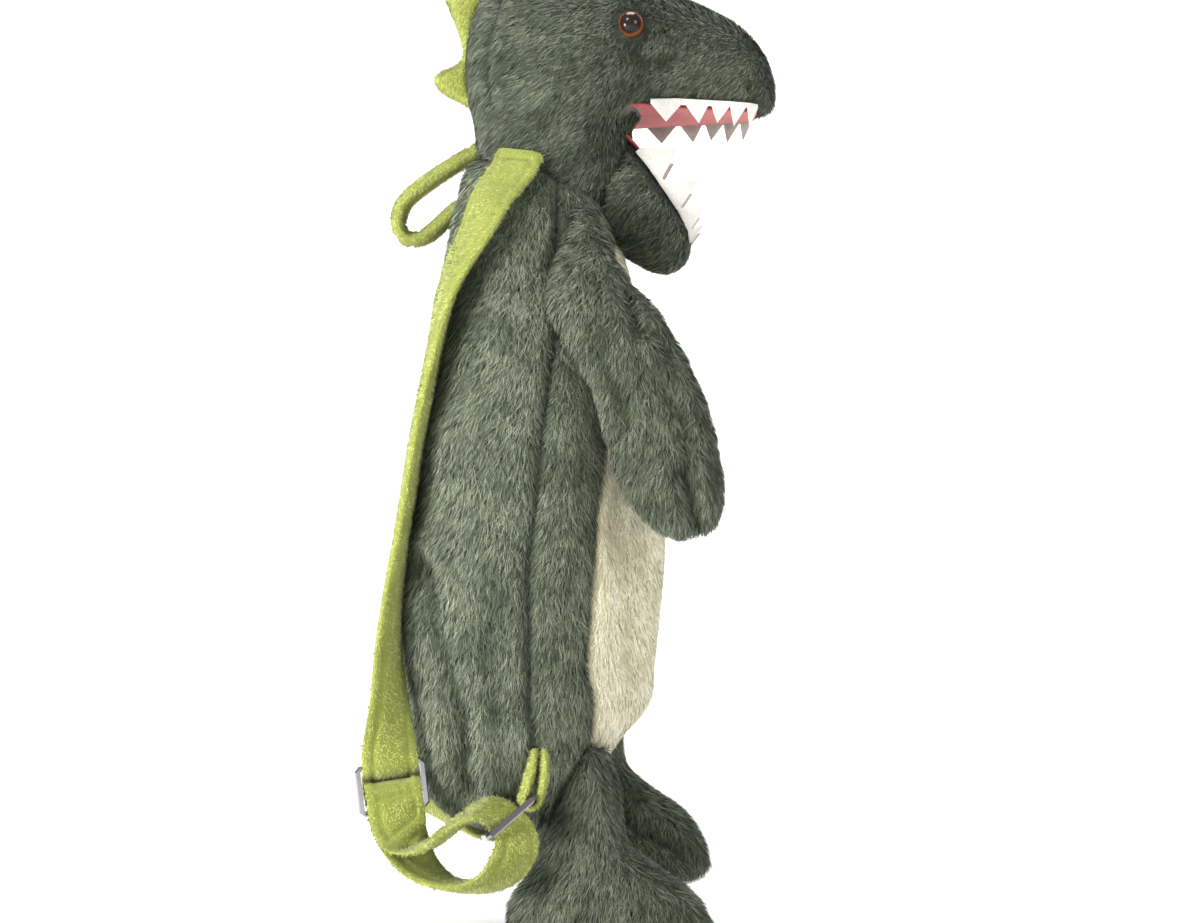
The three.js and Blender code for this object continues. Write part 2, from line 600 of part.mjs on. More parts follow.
// Arms: flat padded shapes hanging from the shoulders
const ARM_ROWS = [
  { down: 0.000, back: 0.190, front: 0.240, out: 0.52, thick: 0.20 },
  { down: 0.023, back: 0.165, front: 0.272, out: 0.56, thick: 0.44 },
  { down: 0.057, back: 0.155, front: 0.298, out: 0.62, thick: 0.62 },
  { down: 0.108, back: 0.130, front: 0.346, out: 0.70, thick: 0.78 },
  { down: 0.190, back: 0.054, front: 0.422, out: 0.81, thick: 0.90 },
  { down: 0.261, back: 0.018, front: 0.514, out: 0.89, thick: 0.96 },
  { down: 0.307, back: 0.004, front: 0.590, out: 0.94, thick: 1.00 },
  { down: 0.364, back: 0.022, front: 0.672, out: 0.98, thick: 1.00 },
  { down: 0.460, back: 0.125, front: 0.784, out: 1.02, thick: 1.00 },
  { down: 0.588, back: 0.258, front: 0.895, out: 1.05, thick: 1.00 },
  { down: 0.702, back: 0.310, front: 0.957, out: 1.07, thick: 0.98 },
  { down: 0.838, back: 0.395, front: 1.000, out: 1.09, thick: 0.94 },
  { down: 0.903, back: 0.475, front: 0.990, out: 1.10, thick: 0.84 },
  { down: 0.952, back: 0.555, front: 0.966, out: 1.10, thick: 0.68 },
  { down: 0.982, back: 0.640, front: 0.925, out: 1.10, thick: 0.46 },
  { down: 1.000, back: 0.740, front: 0.850, out: 1.10, thick: 0.20 },
];
const ARM_TOP = bodyZ(0.913);
const ARM_BACK = bodyX(0.548);
const armForm = (side, grow) => loft(ARM_ROWS.map((row) => oval(
  ARM_BACK + ARM_BREADTH * row.back - grow, ARM_BACK + ARM_BREADTH * row.front + grow,
  (ARM_THICKNESS / 2) * row.thick + grow, ARM_TOP - ARM_LENGTH * row.down, 14, 2.3, 2.3, 1,
  side * (BODY_WIDTH / 2) * row.out,
)));

// Legs: short shanks that widen forward into flat-soled feet
const LEG_ROWS = [
  { down: 0.000, heel: 0.285, toe: 0.444, thick: 0.56 },
  { down: 0.079, heel: 0.257, toe: 0.495, thick: 0.72 },
  { down: 0.242, heel: 0.224, toe: 0.542, thick: 0.84 },
  { down: 0.344, heel: 0.210, toe: 0.551, thick: 0.87 },
  { down: 0.449, heel: 0.192, toe: 0.565, thick: 0.90 },
  { down: 0.511, heel: 0.168, toe: 0.598, thick: 0.93 },
  { down: 0.559, heel: 0.150, toe: 0.666, thick: 0.95 },
  { down: 0.621, heel: 0.110, toe: 0.757, thick: 0.97 },
  { down: 0.670, heel: 0.061, toe: 0.846, thick: 0.99 },
  { down: 0.736, heel: 0.014, toe: 0.916, thick: 1.00 },
  { down: 0.802, heel: 0.000, toe: 0.960, thick: 1.00 },
  { down: 0.881, heel: 0.000, toe: 0.991, thick: 1.00 },
  { down: 0.947, heel: 0.009, toe: 1.000, thick: 0.97 },
  { down: 0.980, heel: 0.022, toe: 0.985, thick: 0.90 },
  { down: 1.000, heel: 0.060, toe: 0.950, thick: 0.80 },
];
const LEG_TOP = bodyZ(0.136);
const LEG_BACK = bodyX(0.395);
const legForm = (side, rise) => loft(LEG_ROWS.map((row) => oval(
  LEG_BACK + LEG_BREADTH * row.heel, LEG_BACK + LEG_BREADTH * row.toe,
  (LEG_THICKNESS / 2) * row.thick, LEG_TOP - LEG_LENGTH * row.down + rise, 16, 2.3, 2.2, 1,
  side * LEG_SPREAD,
)));
for (const [side, word, rise] of [[-1, 'right', 0], [1, 'left', FAR_LEG_RISE]]) {
  add(`arm_${word}`, geometryOf(solid(armForm(side, 0)).subtract(bodyKeepOut)
    .subtract(headKeepOut).subtract(jawKeepOut)), 'green');
  add(`leg_${word}`, geometryOf(solid(legForm(side, rise)).subtract(bodyKeepOut)), 'green');
  const foot = LEG_ROWS[LEG_ROWS.length - 1];
  const soleTop = LEG_TOP - LEG_LENGTH + rise - CLEAR;
  const soleRing = (z, inset) => oval(
    LEG_BACK + LEG_BREADTH * foot.heel + inset, LEG_BACK + LEG_BREADTH * foot.toe - inset,
    (LEG_THICKNESS / 2) * foot.thick - inset, z, 16, 2.3, 2.2, 1, side * LEG_SPREAD,
  );
  add(`sole_${word}`, loft([
    soleRing(soleTop, 0), soleRing(soleTop - SOLE_THICKNESS * 0.6, 0.3),
    soleRing(soleTop - SOLE_THICKNESS, 1.4),
  ]), 'cream');
}


// Straps: place in the depth, height and half width, turn about their own line in degrees
const STRAP_ROWS = [
  { deep: 0.456, up: 0.984, out: 0.530, turn: -62, wide: 1.00, thick: 0.90 },
  { deep: 0.423, up: 0.954, out: 0.590, turn: -60, wide: 1.00, thick: 1.00 },
  { deep: 0.350, up: 0.917, out: 0.667, turn: -54, wide: 1.00, thick: 1.00 },
  { deep: 0.302, up: 0.873, out: 0.720, turn: -42, wide: 1.00, thick: 1.00 },
  { deep: 0.222, up: 0.818, out: 0.733, turn: -30, wide: 1.00, thick: 1.00 },
  { deep: 0.169, up: 0.770, out: 0.727, turn: -20, wide: 1.00, thick: 1.00 },
  { deep: 0.133, up: 0.702, out: 0.720, turn: -8, wide: 1.00, thick: 1.00 },
  { deep: 0.101, up: 0.643, out: 0.713, turn: -4, wide: 1.00, thick: 1.00 },
  { deep: 0.061, up: 0.564, out: 0.707, turn: 0, wide: 1.00, thick: 1.00 },
  { deep: 0.020, up: 0.463, out: 0.707, turn: 0, wide: 1.00, thick: 1.00 },
  { deep: -0.023, up: 0.358, out: 0.720, turn: 9, wide: 1.00, thick: 1.00 },
  { deep: -0.043, up: 0.271, out: 0.747, turn: 20, wide: 1.00, thick: 0.96 },
  { deep: -0.036, up: 0.193, out: 0.787, turn: 36, wide: 1.00, thick: 0.80 },
  { deep: -0.032, up: 0.145, out: 0.827, turn: 58, wide: 1.00, thick: 0.50 },
];
const LOOP_ROWS = [
  { deep: 0.016, up: 0.006, out: 0.887, turn: 58, wide: 1.00, thick: 0.50 },
  { deep: 0.085, up: -0.036, out: 0.920, turn: 28, wide: 1.00, thick: 0.75 },
  { deep: 0.202, up: -0.061, out: 0.960, turn: -3, wide: 1.00, thick: 0.78 },
  { deep: 0.323, up: -0.061, out: 0.987, turn: -25, wide: 1.00, thick: 0.78 },
  { deep: 0.411, up: -0.039, out: 1.000, turn: -48, wide: 1.00, thick: 0.76 },
  { deep: 0.456, up: 0.000, out: 1.007, turn: -66, wide: 0.90, thick: 0.70 },
  { deep: 0.411, up: 0.031, out: 1.008, turn: -74, wide: 0.70, thick: 0.60 },
  { deep: 0.363, up: 0.047, out: 1.008, turn: -40, wide: 0.80, thick: 0.66 },
  { deep: 0.298, up: 0.046, out: 1.013, turn: -8, wide: 0.90, thick: 0.72 },
  { deep: 0.194, up: 0.017, out: 1.027, turn: 12, wide: 0.96, thick: 0.75 },
  { deep: 0.097, up: -0.008, out: 1.020, turn: 2, wide: 1.00, thick: 0.70 },
  { deep: 0.036, up: 0.004, out: 1.000, turn: -45, wide: 1.00, thick: 0.50 },
];
const place = (row) => new THREE.Vector3(
  bodyX(row.deep), -(BODY_WIDTH / 2) * row.out, bodyZ(row.up));

// The adjuster's own frame: along the strap, across it and towards its inner face
const sliderCentre = place({ deep: -0.0226, up: 0.0727, out: 0.853 });
const sliderAlong = new THREE.Vector3(0.12, 0, -0.993).normalize();
const SLIDER_TURN = 75;
function acrossOf(along, turn) {
  const lean = new THREE.Vector3(-along.z, 0, along.x);
  const angle = THREE.MathUtils.degToRad(turn);
  return sideways.clone().multiplyScalar(Math.cos(angle)).addScaledVector(lean, Math.sin(angle))
    .addScaledVector(along, -sideways.dot(along) * Math.cos(angle)).normalize();
}
const sliderAcross = acrossOf(sliderAlong, SLIDER_TURN);
const sliderInward = sliderAlong.clone().cross(sliderAcross).normalize();
const inSlider = (along, inward) => sliderCentre.clone()
  .addScaledVector(sliderAlong, along).addScaledVector(sliderInward, inward);

// Way of the strap over, under and over the bars, and round the middle bar at its end
const bend = WIRE_RADIUS * Math.SQRT2 + CLEAR + WEBBING / 2;
const under = bend + WEBBING + CLEAR * 2;
const over = WIRE_RADIUS + CLEAR * 2 + WEBBING / 2 + 0.3;
const THROUGH_ROWS = [
  { along: -1.32, inward: over }, { along: -1.00, inward: over }, { along: -0.76, inward: over * 0.77 },
  { along: -0.61, inward: -under * 0.10 }, { along: -0.44, inward: -under * 0.74 },
  { along: 0.00, inward: -under }, { along: 0.44, inward: -under * 0.74 },
  { along: 0.61, inward: -under * 0.10 }, { along: 0.76, inward: over * 0.77 },
  { along: 1.00, inward: over }, { along: 1.32, inward: over },
];
const webShare = WEBBING / STRAP_THICKNESS;
const key = (p, w, wide, thick) => ({ p, w, wide: STRAP_WIDTH * wide, thick: STRAP_THICKNESS * thick });
const throughKeys = THROUGH_ROWS.map((row) => key(
  inSlider(row.along * SLIDER_PITCH, row.inward), sliderAcross, 1, webShare));
const second = over + WEBBING + 2.5 * CLEAR;
const endKeys = [
  ...[[1.32, second + 0.2], [1.0, second], [0.72, second - 0.4], [0.38, (second + bend) / 2]].map(
    ([along, inward]) => key(inSlider(along * SLIDER_PITCH, inward), sliderAcross, 1, webShare)),
];
for (let i = 0; i <= 7; i += 1) {
  const angle = THREE.MathUtils.degToRad(-265 * (i / 7));
  endKeys.push(key(inSlider(bend * Math.sin(angle), bend * Math.cos(angle)), sliderAcross, 1, webShare));
}

function turnedKeys(rows) {
  const points = rows.map(place);
  return rows.map((row, i) => {
    const along = points[Math.min(i + 1, points.length - 1)].clone().sub(points[Math.max(i - 1, 0)]).normalize();
    return key(points[i], acrossOf(along, row.turn), row.wide, row.thick);
  });
}
// Stations between the keys, on a smooth curve
function eased(keys, steps) {
  const curve = new THREE.CatmullRomCurve3(keys.map((k) => k.p), false, 'centripetal');
  const stations = [];
  const spans = keys.length - 1;
  for (let i = 0; i < spans; i += 1) {
    const near = keys[i].p.distanceTo(keys[i + 1].p) < 9;
    const count = near ? 1 : steps;
    for (let k = 0; k < count; k += 1) {
      const t = k / count;
      stations.push({
        p: curve.getPoint((i + t) / spans),
        w: keys[i].w.clone().lerp(keys[i + 1].w, t).normalize(),
        wide: THREE.MathUtils.lerp(keys[i].wide, keys[i + 1].wide, t),
        thick: THREE.MathUtils.lerp(keys[i].thick, keys[i + 1].thick, t),
      });
    }
  }
  stations.push(keys[spans]);
  return stations;
}
const strapStations = eased(
  [...turnedKeys(STRAP_ROWS), ...throughKeys, ...turnedKeys(LOOP_ROWS), ...endKeys], 2);

// Plate hardware with softened edges, placed by its own directions
function placedPlate(outer, holes, thickness, centre, ax, ay) {
  const az = ax.clone().cross(ay).normalize();
  const at = (x, y, z) => centre.clone().addScaledVector(ax, x).addScaledVector(ay, y).addScaledVector(az, z);
  const box = (w, h, cut) => [
    [-w + cut, -h], [w - cut, -h], [w, -h + cut], [w, h - cut],
    [w - cut, h], [-w + cut, h], [-w, h - cut], [-w, -h + cut],
  ];
  const rim = thickness * 0.25;
  const levels = [[-thickness / 2, rim], [-thickness / 2 + rim, 0], [thickness / 2 - rim, 0], [thickness / 2, rim]];
  let plate = solid(loft(levels.map(([z, inset]) => (
    box(outer[0] - inset, outer[1] - inset, 2.2).map(([a, b]) => at(a, b, z))))));
  for (const [x, y, w, h] of holes) {
    const corners = [[-w, -h], [w, -h], [w, h], [-w, h]];
    plate = plate.subtract(solid(loft([-thickness, thickness].map((z) => (
      corners.map(([a, b]) => at(x + a, y + b, z)))))));
  }
  return geometryOf(plate);
}
const slotHalf = STRAP_WIDTH / 2 + SLIDER_PLAY;
const sliderPlate = placedPlate(
  [SLIDER_PITCH + WIRE_RADIUS, slotHalf + 2 * WIRE_RADIUS],
  [-1, 1].map((s) => [s * SLIDER_PITCH / 2, 0, SLIDER_PITCH / 2 - WIRE_RADIUS, slotHalf]),
  2 * WIRE_RADIUS, sliderCentre, sliderAlong, sliderAcross,
);

// Ring below the side seam: its length lies along the strap's width
const ringCentre = place({ deep: 0.423, up: 0.035, out: 1.000 });
const ringLong = new THREE.Vector3(0.74, 0.28, 0.61).normalize();
const ringFace = new THREE.Vector3(0.216, -0.96, 0.178);
ringFace.addScaledVector(ringLong, -ringFace.dot(ringLong)).normalize();
const ringPlate = placedPlate(
  [RING_LENGTH / 2, RING_DEPTH / 2], [[0, 0, RING_LENGTH / 2 - 2 * RING_WIRE, RING_DEPTH / 2 - 2 * RING_WIRE]],
  2 * RING_WIRE, ringCentre, ringLong, ringFace,
);

// Tab: a strip folded round the ring's upper end, both ends sewn in the side seam
const tabBar = ringCentre.clone().addScaledVector(ringLong, RING_LENGTH / 2 - RING_WIRE);
const ringOut = ringLong.clone().cross(ringFace).normalize();
const tabBend = RING_WIRE * Math.SQRT2 + CLEAR + TAB_THICKNESS / 2;
const TAB_WIDTH = RING_DEPTH - 4 * RING_WIRE - 2 * CLEAR;
const tabKey = (p) => ({ p, w: ringFace, wide: TAB_WIDTH, thick: TAB_THICKNESS });
const tabKeys = [
  tabKey(place({ up: 0.124, deep: 0.548, out: 0.86 })),
  tabKey(place({ up: 0.092, deep: 0.552, out: 0.93 })),
];
for (let i = 0; i <= 5; i += 1) {
  const angle = Math.PI * (i / 5);
  tabKeys.push(tabKey(tabBar.clone().addScaledVector(ringOut, tabBend * Math.cos(angle))
    .addScaledVector(ringLong, -tabBend * Math.sin(angle))));
}
tabKeys.push(
  tabKey(place({ up: 0.094, deep: 0.500, out: 0.93 })),
  tabKey(place({ up: 0.124, deep: 0.512, out: 0.86 })),
);
const tabStations = eased(tabKeys, 2);

const flip = (geometry) => {
  const copy = geometry.clone();
  const position = copy.attributes.position;
  for (let i = 0; i < position.count; i += 1) position.setY(i, -position.getY(i));
  if (!copy.index) copy.setIndex(Array.from({ length: position.count }, (_, i) => i));
  const index = Array.from(copy.index.array);
  for (let i = 0; i < index.length; i += 3) [index[i], index[i + 1]] = [index[i + 1], index[i]];
  copy.setIndex(index);
  return copy;
};
const strapForm = strip(strapStations);
const tabForm = strip(tabStations);
for (const [word, turn] of [['right', (g) => g], ['left', flip]]) {
  add(`strap_${word}`, geometryOf(solid(turn(strapForm)).subtract(bodyKeepOut).subtract(headKeepOut)), 'lime');
  add(`strap_slider_${word}`, geometryOf(solid(turn(sliderPlate))), 'chrome');
  add(`side_ring_${word}`, geometryOf(solid(turn(ringPlate))), 'chrome');
  add(`ring_tab_${word}`, geometryOf(solid(turn(tabForm)).subtract(bodyKeepOut)), 'lime');
}

// Grab loop at the nape
const GRAB_ROWS = [
  { deep: 0.290, up: 1.008 }, { deep: 0.212, up: 0.992 }, { deep: 0.060, up: 0.955 },
  { deep: -0.030, up: 0.925 }, { deep: -0.052, up: 0.893 }, { deep: -0.025, up: 0.868 },
  { deep: 0.045, up: 0.872 }, { deep: 0.110, up: 0.890 }, { deep: 0.190, up: 0.918 },
  { deep: 0.260, up: 0.930 },
];
const grabKeys = GRAB_ROWS.map((row) => ({
  p: new THREE.Vector3(bodyX(row.deep), 0, bodyZ(row.up)), w: sideways, wide: GRAB_WIDTH, thick: GRAB_THICKNESS,
}));
add('grab_loop', geometryOf(solid(strip(eased(grabKeys, 2))).subtract(bodyKeepOut).subtract(headKeepOut)), 'lime');

export default group;
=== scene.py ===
"""Plush T-rex backpack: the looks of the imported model, in metres, +X forward and +Z up."""
import logging
import math
from dataclasses import dataclass, replace
from enum import Enum
from functools import cache
from typing import Iterable, Sequence

import bmesh
import bpy
import numpy as np
from bpy.types import ID, Material, Mesh, Node, NodeSocket, NodeTree, Object
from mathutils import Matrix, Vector
from mathutils.bvhtree import BVHTree
from mathutils.kdtree import KDTree

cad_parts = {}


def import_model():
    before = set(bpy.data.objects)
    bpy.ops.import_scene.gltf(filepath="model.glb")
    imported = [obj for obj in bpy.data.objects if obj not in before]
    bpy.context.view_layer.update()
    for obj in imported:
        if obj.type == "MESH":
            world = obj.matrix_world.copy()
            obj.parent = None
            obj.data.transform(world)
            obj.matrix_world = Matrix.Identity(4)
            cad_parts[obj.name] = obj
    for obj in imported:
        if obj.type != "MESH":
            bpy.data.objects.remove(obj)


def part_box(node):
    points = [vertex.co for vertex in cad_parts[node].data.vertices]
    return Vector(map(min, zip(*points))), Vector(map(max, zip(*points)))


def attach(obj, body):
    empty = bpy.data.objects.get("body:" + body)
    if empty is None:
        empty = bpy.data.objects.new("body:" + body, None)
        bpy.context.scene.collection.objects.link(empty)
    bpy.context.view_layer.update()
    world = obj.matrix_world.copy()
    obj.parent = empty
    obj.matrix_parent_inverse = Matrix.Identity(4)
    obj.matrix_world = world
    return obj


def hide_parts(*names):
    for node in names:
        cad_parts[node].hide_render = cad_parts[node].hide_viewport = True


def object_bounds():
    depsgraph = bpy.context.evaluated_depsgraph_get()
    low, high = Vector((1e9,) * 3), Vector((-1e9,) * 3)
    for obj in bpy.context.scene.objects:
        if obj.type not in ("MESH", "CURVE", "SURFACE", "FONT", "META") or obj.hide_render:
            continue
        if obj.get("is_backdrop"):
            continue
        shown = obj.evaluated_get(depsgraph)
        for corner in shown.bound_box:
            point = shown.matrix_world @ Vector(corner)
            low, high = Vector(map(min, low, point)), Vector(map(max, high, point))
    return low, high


LOG = logging.getLogger("plush_backpack")
MM = 0.001
Rgb = tuple[float, float, float]


def linear(*screen: int) -> Rgb:
    """A screen colour, as red, green and blue from 0 to 255, in linear light."""
    shares = [value / 255.0 for value in screen]
    return tuple(share / 12.92 if share <= 0.04045 else ((share + 0.055) / 1.055) ** 2.4 for share in shares)


class Slot(Enum):
    """Material slot names, one kept with each finish."""

    GREEN = "green_plush"
    CREAM = "cream_plush"
    LIME = "lime_plush"
    WHITE = "white_felt"
    RED = "red_felt"
    EYE = "eye_gloss"


@dataclass(frozen=True)
class PlushFinish:
    """A furred cloth: its backing, the shades of its pile from dark to pale, and how the strands lie.

    The strands have a length, a number to a square millimetre and a breadth. Then come how far they sway from
    the comb's direction, stand up from the cloth and turn about their own line.
    """

    name: str
    slot: Slot
    backing: Rgb
    shades: tuple[Rgb, ...]
    pile_mm: float
    per_mm2: float
    blade_mm: float
    wild: float
    lift: float
    roll: float = 1.1
    comb: tuple[float, float, float] = (-0.12, 0.0, -1.0)

    def toned(self, name: str, tone: float) -> "PlushFinish":
        """The same plush with every colour scaled by one tone; the darker copies below are a painted shade.

        Args:
            name: The toned finish's name.
            tone: Factor on every colour.

        Returns:
            The toned finish.
        """
        shades = tuple(tuple(c * tone for c in shade) for shade in self.shades)
        return replace(self, name=name, shades=shades, backing=tuple(c * tone for c in self.backing))


GREEN_PLUSH = PlushFinish(
    "green_plush", Slot.GREEN, linear(77, 85, 69),
    (linear(62, 70, 55), linear(82, 91, 74), linear(98, 106, 88), linear(119, 126, 105), linear(152, 158, 136)),
    6.2, 2.0, blade_mm=0.46, wild=0.5, lift=0.5)
# The head and lower jaw take a darker copy of the body's green: painted shade.
SHADED_HEAD_PLUSH = PlushFinish(
    "head_plush", Slot.GREEN, linear(58, 65, 53),
    (linear(45, 52, 42), linear(63, 71, 58), linear(79, 86, 72), linear(96, 102, 86), linear(128, 133, 114)),
    4.8, 2.25, blade_mm=0.44, wild=0.45, lift=0.5, comb=(-0.75, 0.0, -0.65))
# Darker copies of the body's green for the arms, legs and side panels: painted shade.
SHADED_LIMB_PLUSH = GREEN_PLUSH.toned("shaded_limb_plush", 0.74)
SHADED_SIDE_PLUSH = GREEN_PLUSH.toned("shaded_side_plush", 0.96)
CREAM_PLUSH = PlushFinish(
    "cream_plush", Slot.CREAM, linear(196, 190, 158),
    (linear(198, 191, 158), linear(216, 211, 180), linear(231, 227, 198), linear(242, 239, 216),
     linear(250, 248, 232)),
    4.8, 2.0, blade_mm=0.46, wild=0.45, lift=0.5, roll=0.7)
LIME_PLUSH = PlushFinish(
    "lime_plush", Slot.LIME, linear(138, 147, 62),
    (linear(134, 142, 66), linear(154, 161, 78), linear(171, 177, 93), linear(187, 191, 110), linear(202, 205, 136)),
    1.9, 2.2, blade_mm=0.46, wild=0.8, lift=0.9, roll=0.3)
CREST_PLUSH = PlushFinish(
    "crest_plush", Slot.LIME, linear(145, 153, 64),
    (linear(140, 148, 66), linear(160, 168, 78), linear(178, 185, 94), linear(194, 199, 112), linear(208, 212, 138)),
    2.8, 3.0, blade_mm=0.40, wild=0.7, lift=0.8, roll=0.4)
SOLE_PLUSH = PlushFinish(
    "sole_plush", Slot.CREAM, linear(196, 194, 164),
    (linear(190, 188, 160), linear(202, 200, 172), linear(212, 210, 184), linear(222, 220, 196),
     linear(232, 230, 210)),
    2.2, 2.4, blade_mm=0.40, wild=0.7, lift=0.8, roll=0.5)


def feed(made: Node, feeds: dict[str | int, object]) -> Node:
    """Feed a node's inputs, by name or number, with sockets or plain values."""
    for slot, value in feeds.items():
        if isinstance(value, NodeSocket):
            made.id_data.links.new(value, made.inputs[slot])
        else:
            made.inputs[slot].default_value = value
    return made


def add(tree: NodeTree, kind: str, feeds: dict[str | int, object], **settings: object) -> Node:
    """Add a node to a tree.

    Args:
        tree: The node tree.
        kind: The node's type.
        feeds: A socket or a plain value for each input that isn't left alone.
        settings: The node's own settings.

    Returns:
        The node.
    """
    made = tree.nodes.new(kind)
    for name, value in settings.items():
        setattr(made, name, value)
    return feed(made, feeds)


class Shop:
    """Makes node materials."""

    @staticmethod
    def start(name: str) -> tuple[Material, NodeTree, Node]:
        """A new material with its tree and its main shader."""
        material = bpy.data.materials.new(name)
        material.use_nodes = True
        return material, material.node_tree, material.node_tree.nodes["Principled BSDF"]

    @staticmethod
    def ramp(tree: NodeTree, share: NodeSocket, *stops: tuple[float, Rgb]) -> NodeSocket:
        """Colours spread along a share.

        Args:
            tree: The material's tree.
            share: What picks the colour, from 0 to 1.
            stops: Each colour's place and the colour.

        Returns:
            The picked colour.
        """
        made = add(tree, "ShaderNodeValToRGB", {"Fac": share})
        held = made.color_ramp.elements
        for i, (at, colour) in enumerate(stops):
            stop = held[i] if i < 2 else held.new(at)
            stop.position, stop.color = at, (*colour, 1.0)
        return made.outputs["Color"]

    @staticmethod
    def cloth(name: str, dark: Rgb, pale: Rgb, grain_mm: float, bump: float) -> Material:
        """Felt or plush backing with mottled colour and a fine nap, darker in the nap's hollows as a painted shade.

        Args:
            name: The material's name.
            dark: Colour of the deeper places, a painted shade.
            pale: Colour of the raised places.
            grain_mm: Size of the nap.
            bump: Strength of the nap.

        Returns:
            The material.
        """
        material, tree, shader = Shop.start(name)
        where = add(tree, "ShaderNodeTexCoord", {}).outputs["Object"]
        mottle = add(tree, "ShaderNodeTexNoise", {"Scale": 55.0, "Detail": 5.0, "Vector": where}).outputs["Fac"]
        fine = {"Scale": 1000.0 / grain_mm, "Detail": 3.0, "Vector": where}
        nap = add(tree, "ShaderNodeTexNoise", fine).outputs["Fac"]
        # Half the colour follows the nap's height, so its hollows come out darker, a painted shade; the other half is
        # random mottle.
        half = add(tree, "ShaderNodeMath", {0: mottle, 1: 0.5}, operation="MULTIPLY").outputs[0]
        both = add(tree, "ShaderNodeMath", {0: nap, 1: 0.5, 2: half}, operation="MULTIPLY_ADD").outputs[0]
        relief = add(tree, "ShaderNodeBump", {"Strength": bump, "Distance": grain_mm * 0.5 * MM, "Height": nap})
        feed(shader, {"Base Color": Shop.ramp(tree, both, (0.36, dark), (0.64, pale)),
                      "Normal": relief.outputs["Normal"], "Roughness": 0.95, "Sheen Weight": 0.25,
                      "Sheen Roughness": 0.6, "Specular IOR Level": 0.15})
        return material

    @staticmethod
    def strand(name: str, colour: Rgb) -> Material:
        """A plain shade for strands of pile."""
        material, _, shader = Shop.start(name)
        feed(shader, {"Base Color": (*colour, 1.0), "Roughness": 0.85, "Specular IOR Level": 0.12,
                      "Sheen Weight": 0.12})
        return material

    @staticmethod
    @cache
    def metal() -> Material:
        """Polished chrome wire with faint wear."""
        material, tree, shader = Shop.start("chrome")
        where = add(tree, "ShaderNodeTexCoord", {}).outputs["Object"]
        wear = add(tree, "ShaderNodeTexNoise", {"Scale": 420.0, "Detail": 6.0, "Vector": where})
        spread = add(tree, "ShaderNodeMapRange", {"To Min": 0.08, "To Max": 0.22, "Value": wear.outputs["Fac"]})
        feed(shader, {"Roughness": spread.outputs["Result"], "Base Color": (*linear(158, 156, 160), 1.0),
                      "Metallic": 1.0})
        return material

    @staticmethod
    def zip_strip() -> Material:
        """Dark zip tape whose coil shows as fine cross bars."""
        material, tree, shader = Shop.start("zip_dark")
        where = add(tree, "ShaderNodeTexCoord", {}).outputs["Object"]
        bars = add(tree, "ShaderNodeTexWave", {"Scale": 170.0, "Vector": where},
                   wave_type="BANDS", bands_direction="Z").outputs["Fac"]
        relief = add(tree, "ShaderNodeBump", {"Distance": 0.6 * MM, "Height": bars})
        feed(shader, {"Base Color": Shop.ramp(tree, bars, (0.0, linear(44, 38, 48)), (1.0, linear(92, 84, 100))),
                      "Normal": relief.outputs["Normal"], "Roughness": 0.6})
        return material

    @staticmethod
    @cache
    def eye() -> Material:
        """Glossy eye: near-black pupil in a brown ring, from the piece's own rim attribute."""
        material, tree, shader = Shop.start("eye_gloss")
        rim = add(tree, "ShaderNodeAttribute", {}, attribute_name="rim").outputs["Fac"]
        colour = Shop.ramp(tree, rim, (0.70, linear(34, 24, 24)), (0.80, linear(120, 66, 30)),
                           (0.97, linear(52, 28, 18)))
        feed(shader, {"Base Color": colour, "Roughness": 0.08, "Specular IOR Level": 0.22})
        return material


@dataclass(frozen=True)
class Fold:
    """A crease on the side view, with its points as (x, z), its depth and its width, all in millimetres.

    Then come its shoulder's height as a share of the depth, the shoulder's distance and the floor's breadth as
    shares of the width, and the depth at which the floor's pile is shortest and darkest, a painted shade.
    """

    points: tuple[tuple[float, float], ...]
    depth: float
    width: float
    shoulder: float = 0.4
    shoulder_at: float = 2.2
    floor: float = 0.6
    bare_shaded_depth: float = 2.5


def segment_distance(points: np.ndarray, line: Sequence[Sequence[float]]) -> np.ndarray:
    """Distance from each point to a line of straight pieces.

    Args:
        points: Points, one a row.
        line: The line's corners.

    Returns:
        One distance for each point.
    """
    best = np.full(len(points), 1e9)
    corners = np.array(line, dtype=float)
    for start, end in zip(corners[:-1], corners[1:]):
        run = end - start
        share = np.clip(((points - start) @ run) / max(float(run @ run), 1e-9), 0.0, 1.0)
        best = np.minimum(best, np.linalg.norm(points - start - share[:, None] * run, axis=1))
    return best


def read(mesh: Mesh, field: str) -> np.ndarray:
    """Three numbers for each point of a mesh, one point a row."""
    flat = np.empty(len(mesh.vertices) * 3)
    mesh.vertices.foreach_get(field, flat)
    return flat.reshape(-1, 3)


def corners_of(mesh: Mesh) -> np.ndarray:
    """The mesh's points in metres, one a row."""
    return read(mesh, "co")


def facing_of(mesh: Mesh) -> np.ndarray:
    """The mesh's point normals, one a row."""
    return read(mesh, "normal")


def put_corners(mesh: Mesh, points: np.ndarray) -> None:
    """Write the mesh's points back."""
    mesh.vertices.foreach_set("co", points.reshape(-1))
    mesh.update()


def bell(away: np.ndarray, width: float) -> np.ndarray:
    """A smooth bump that is 1 at no distance and dies out beyond the width."""
    return np.exp(-(away / width) ** 2)


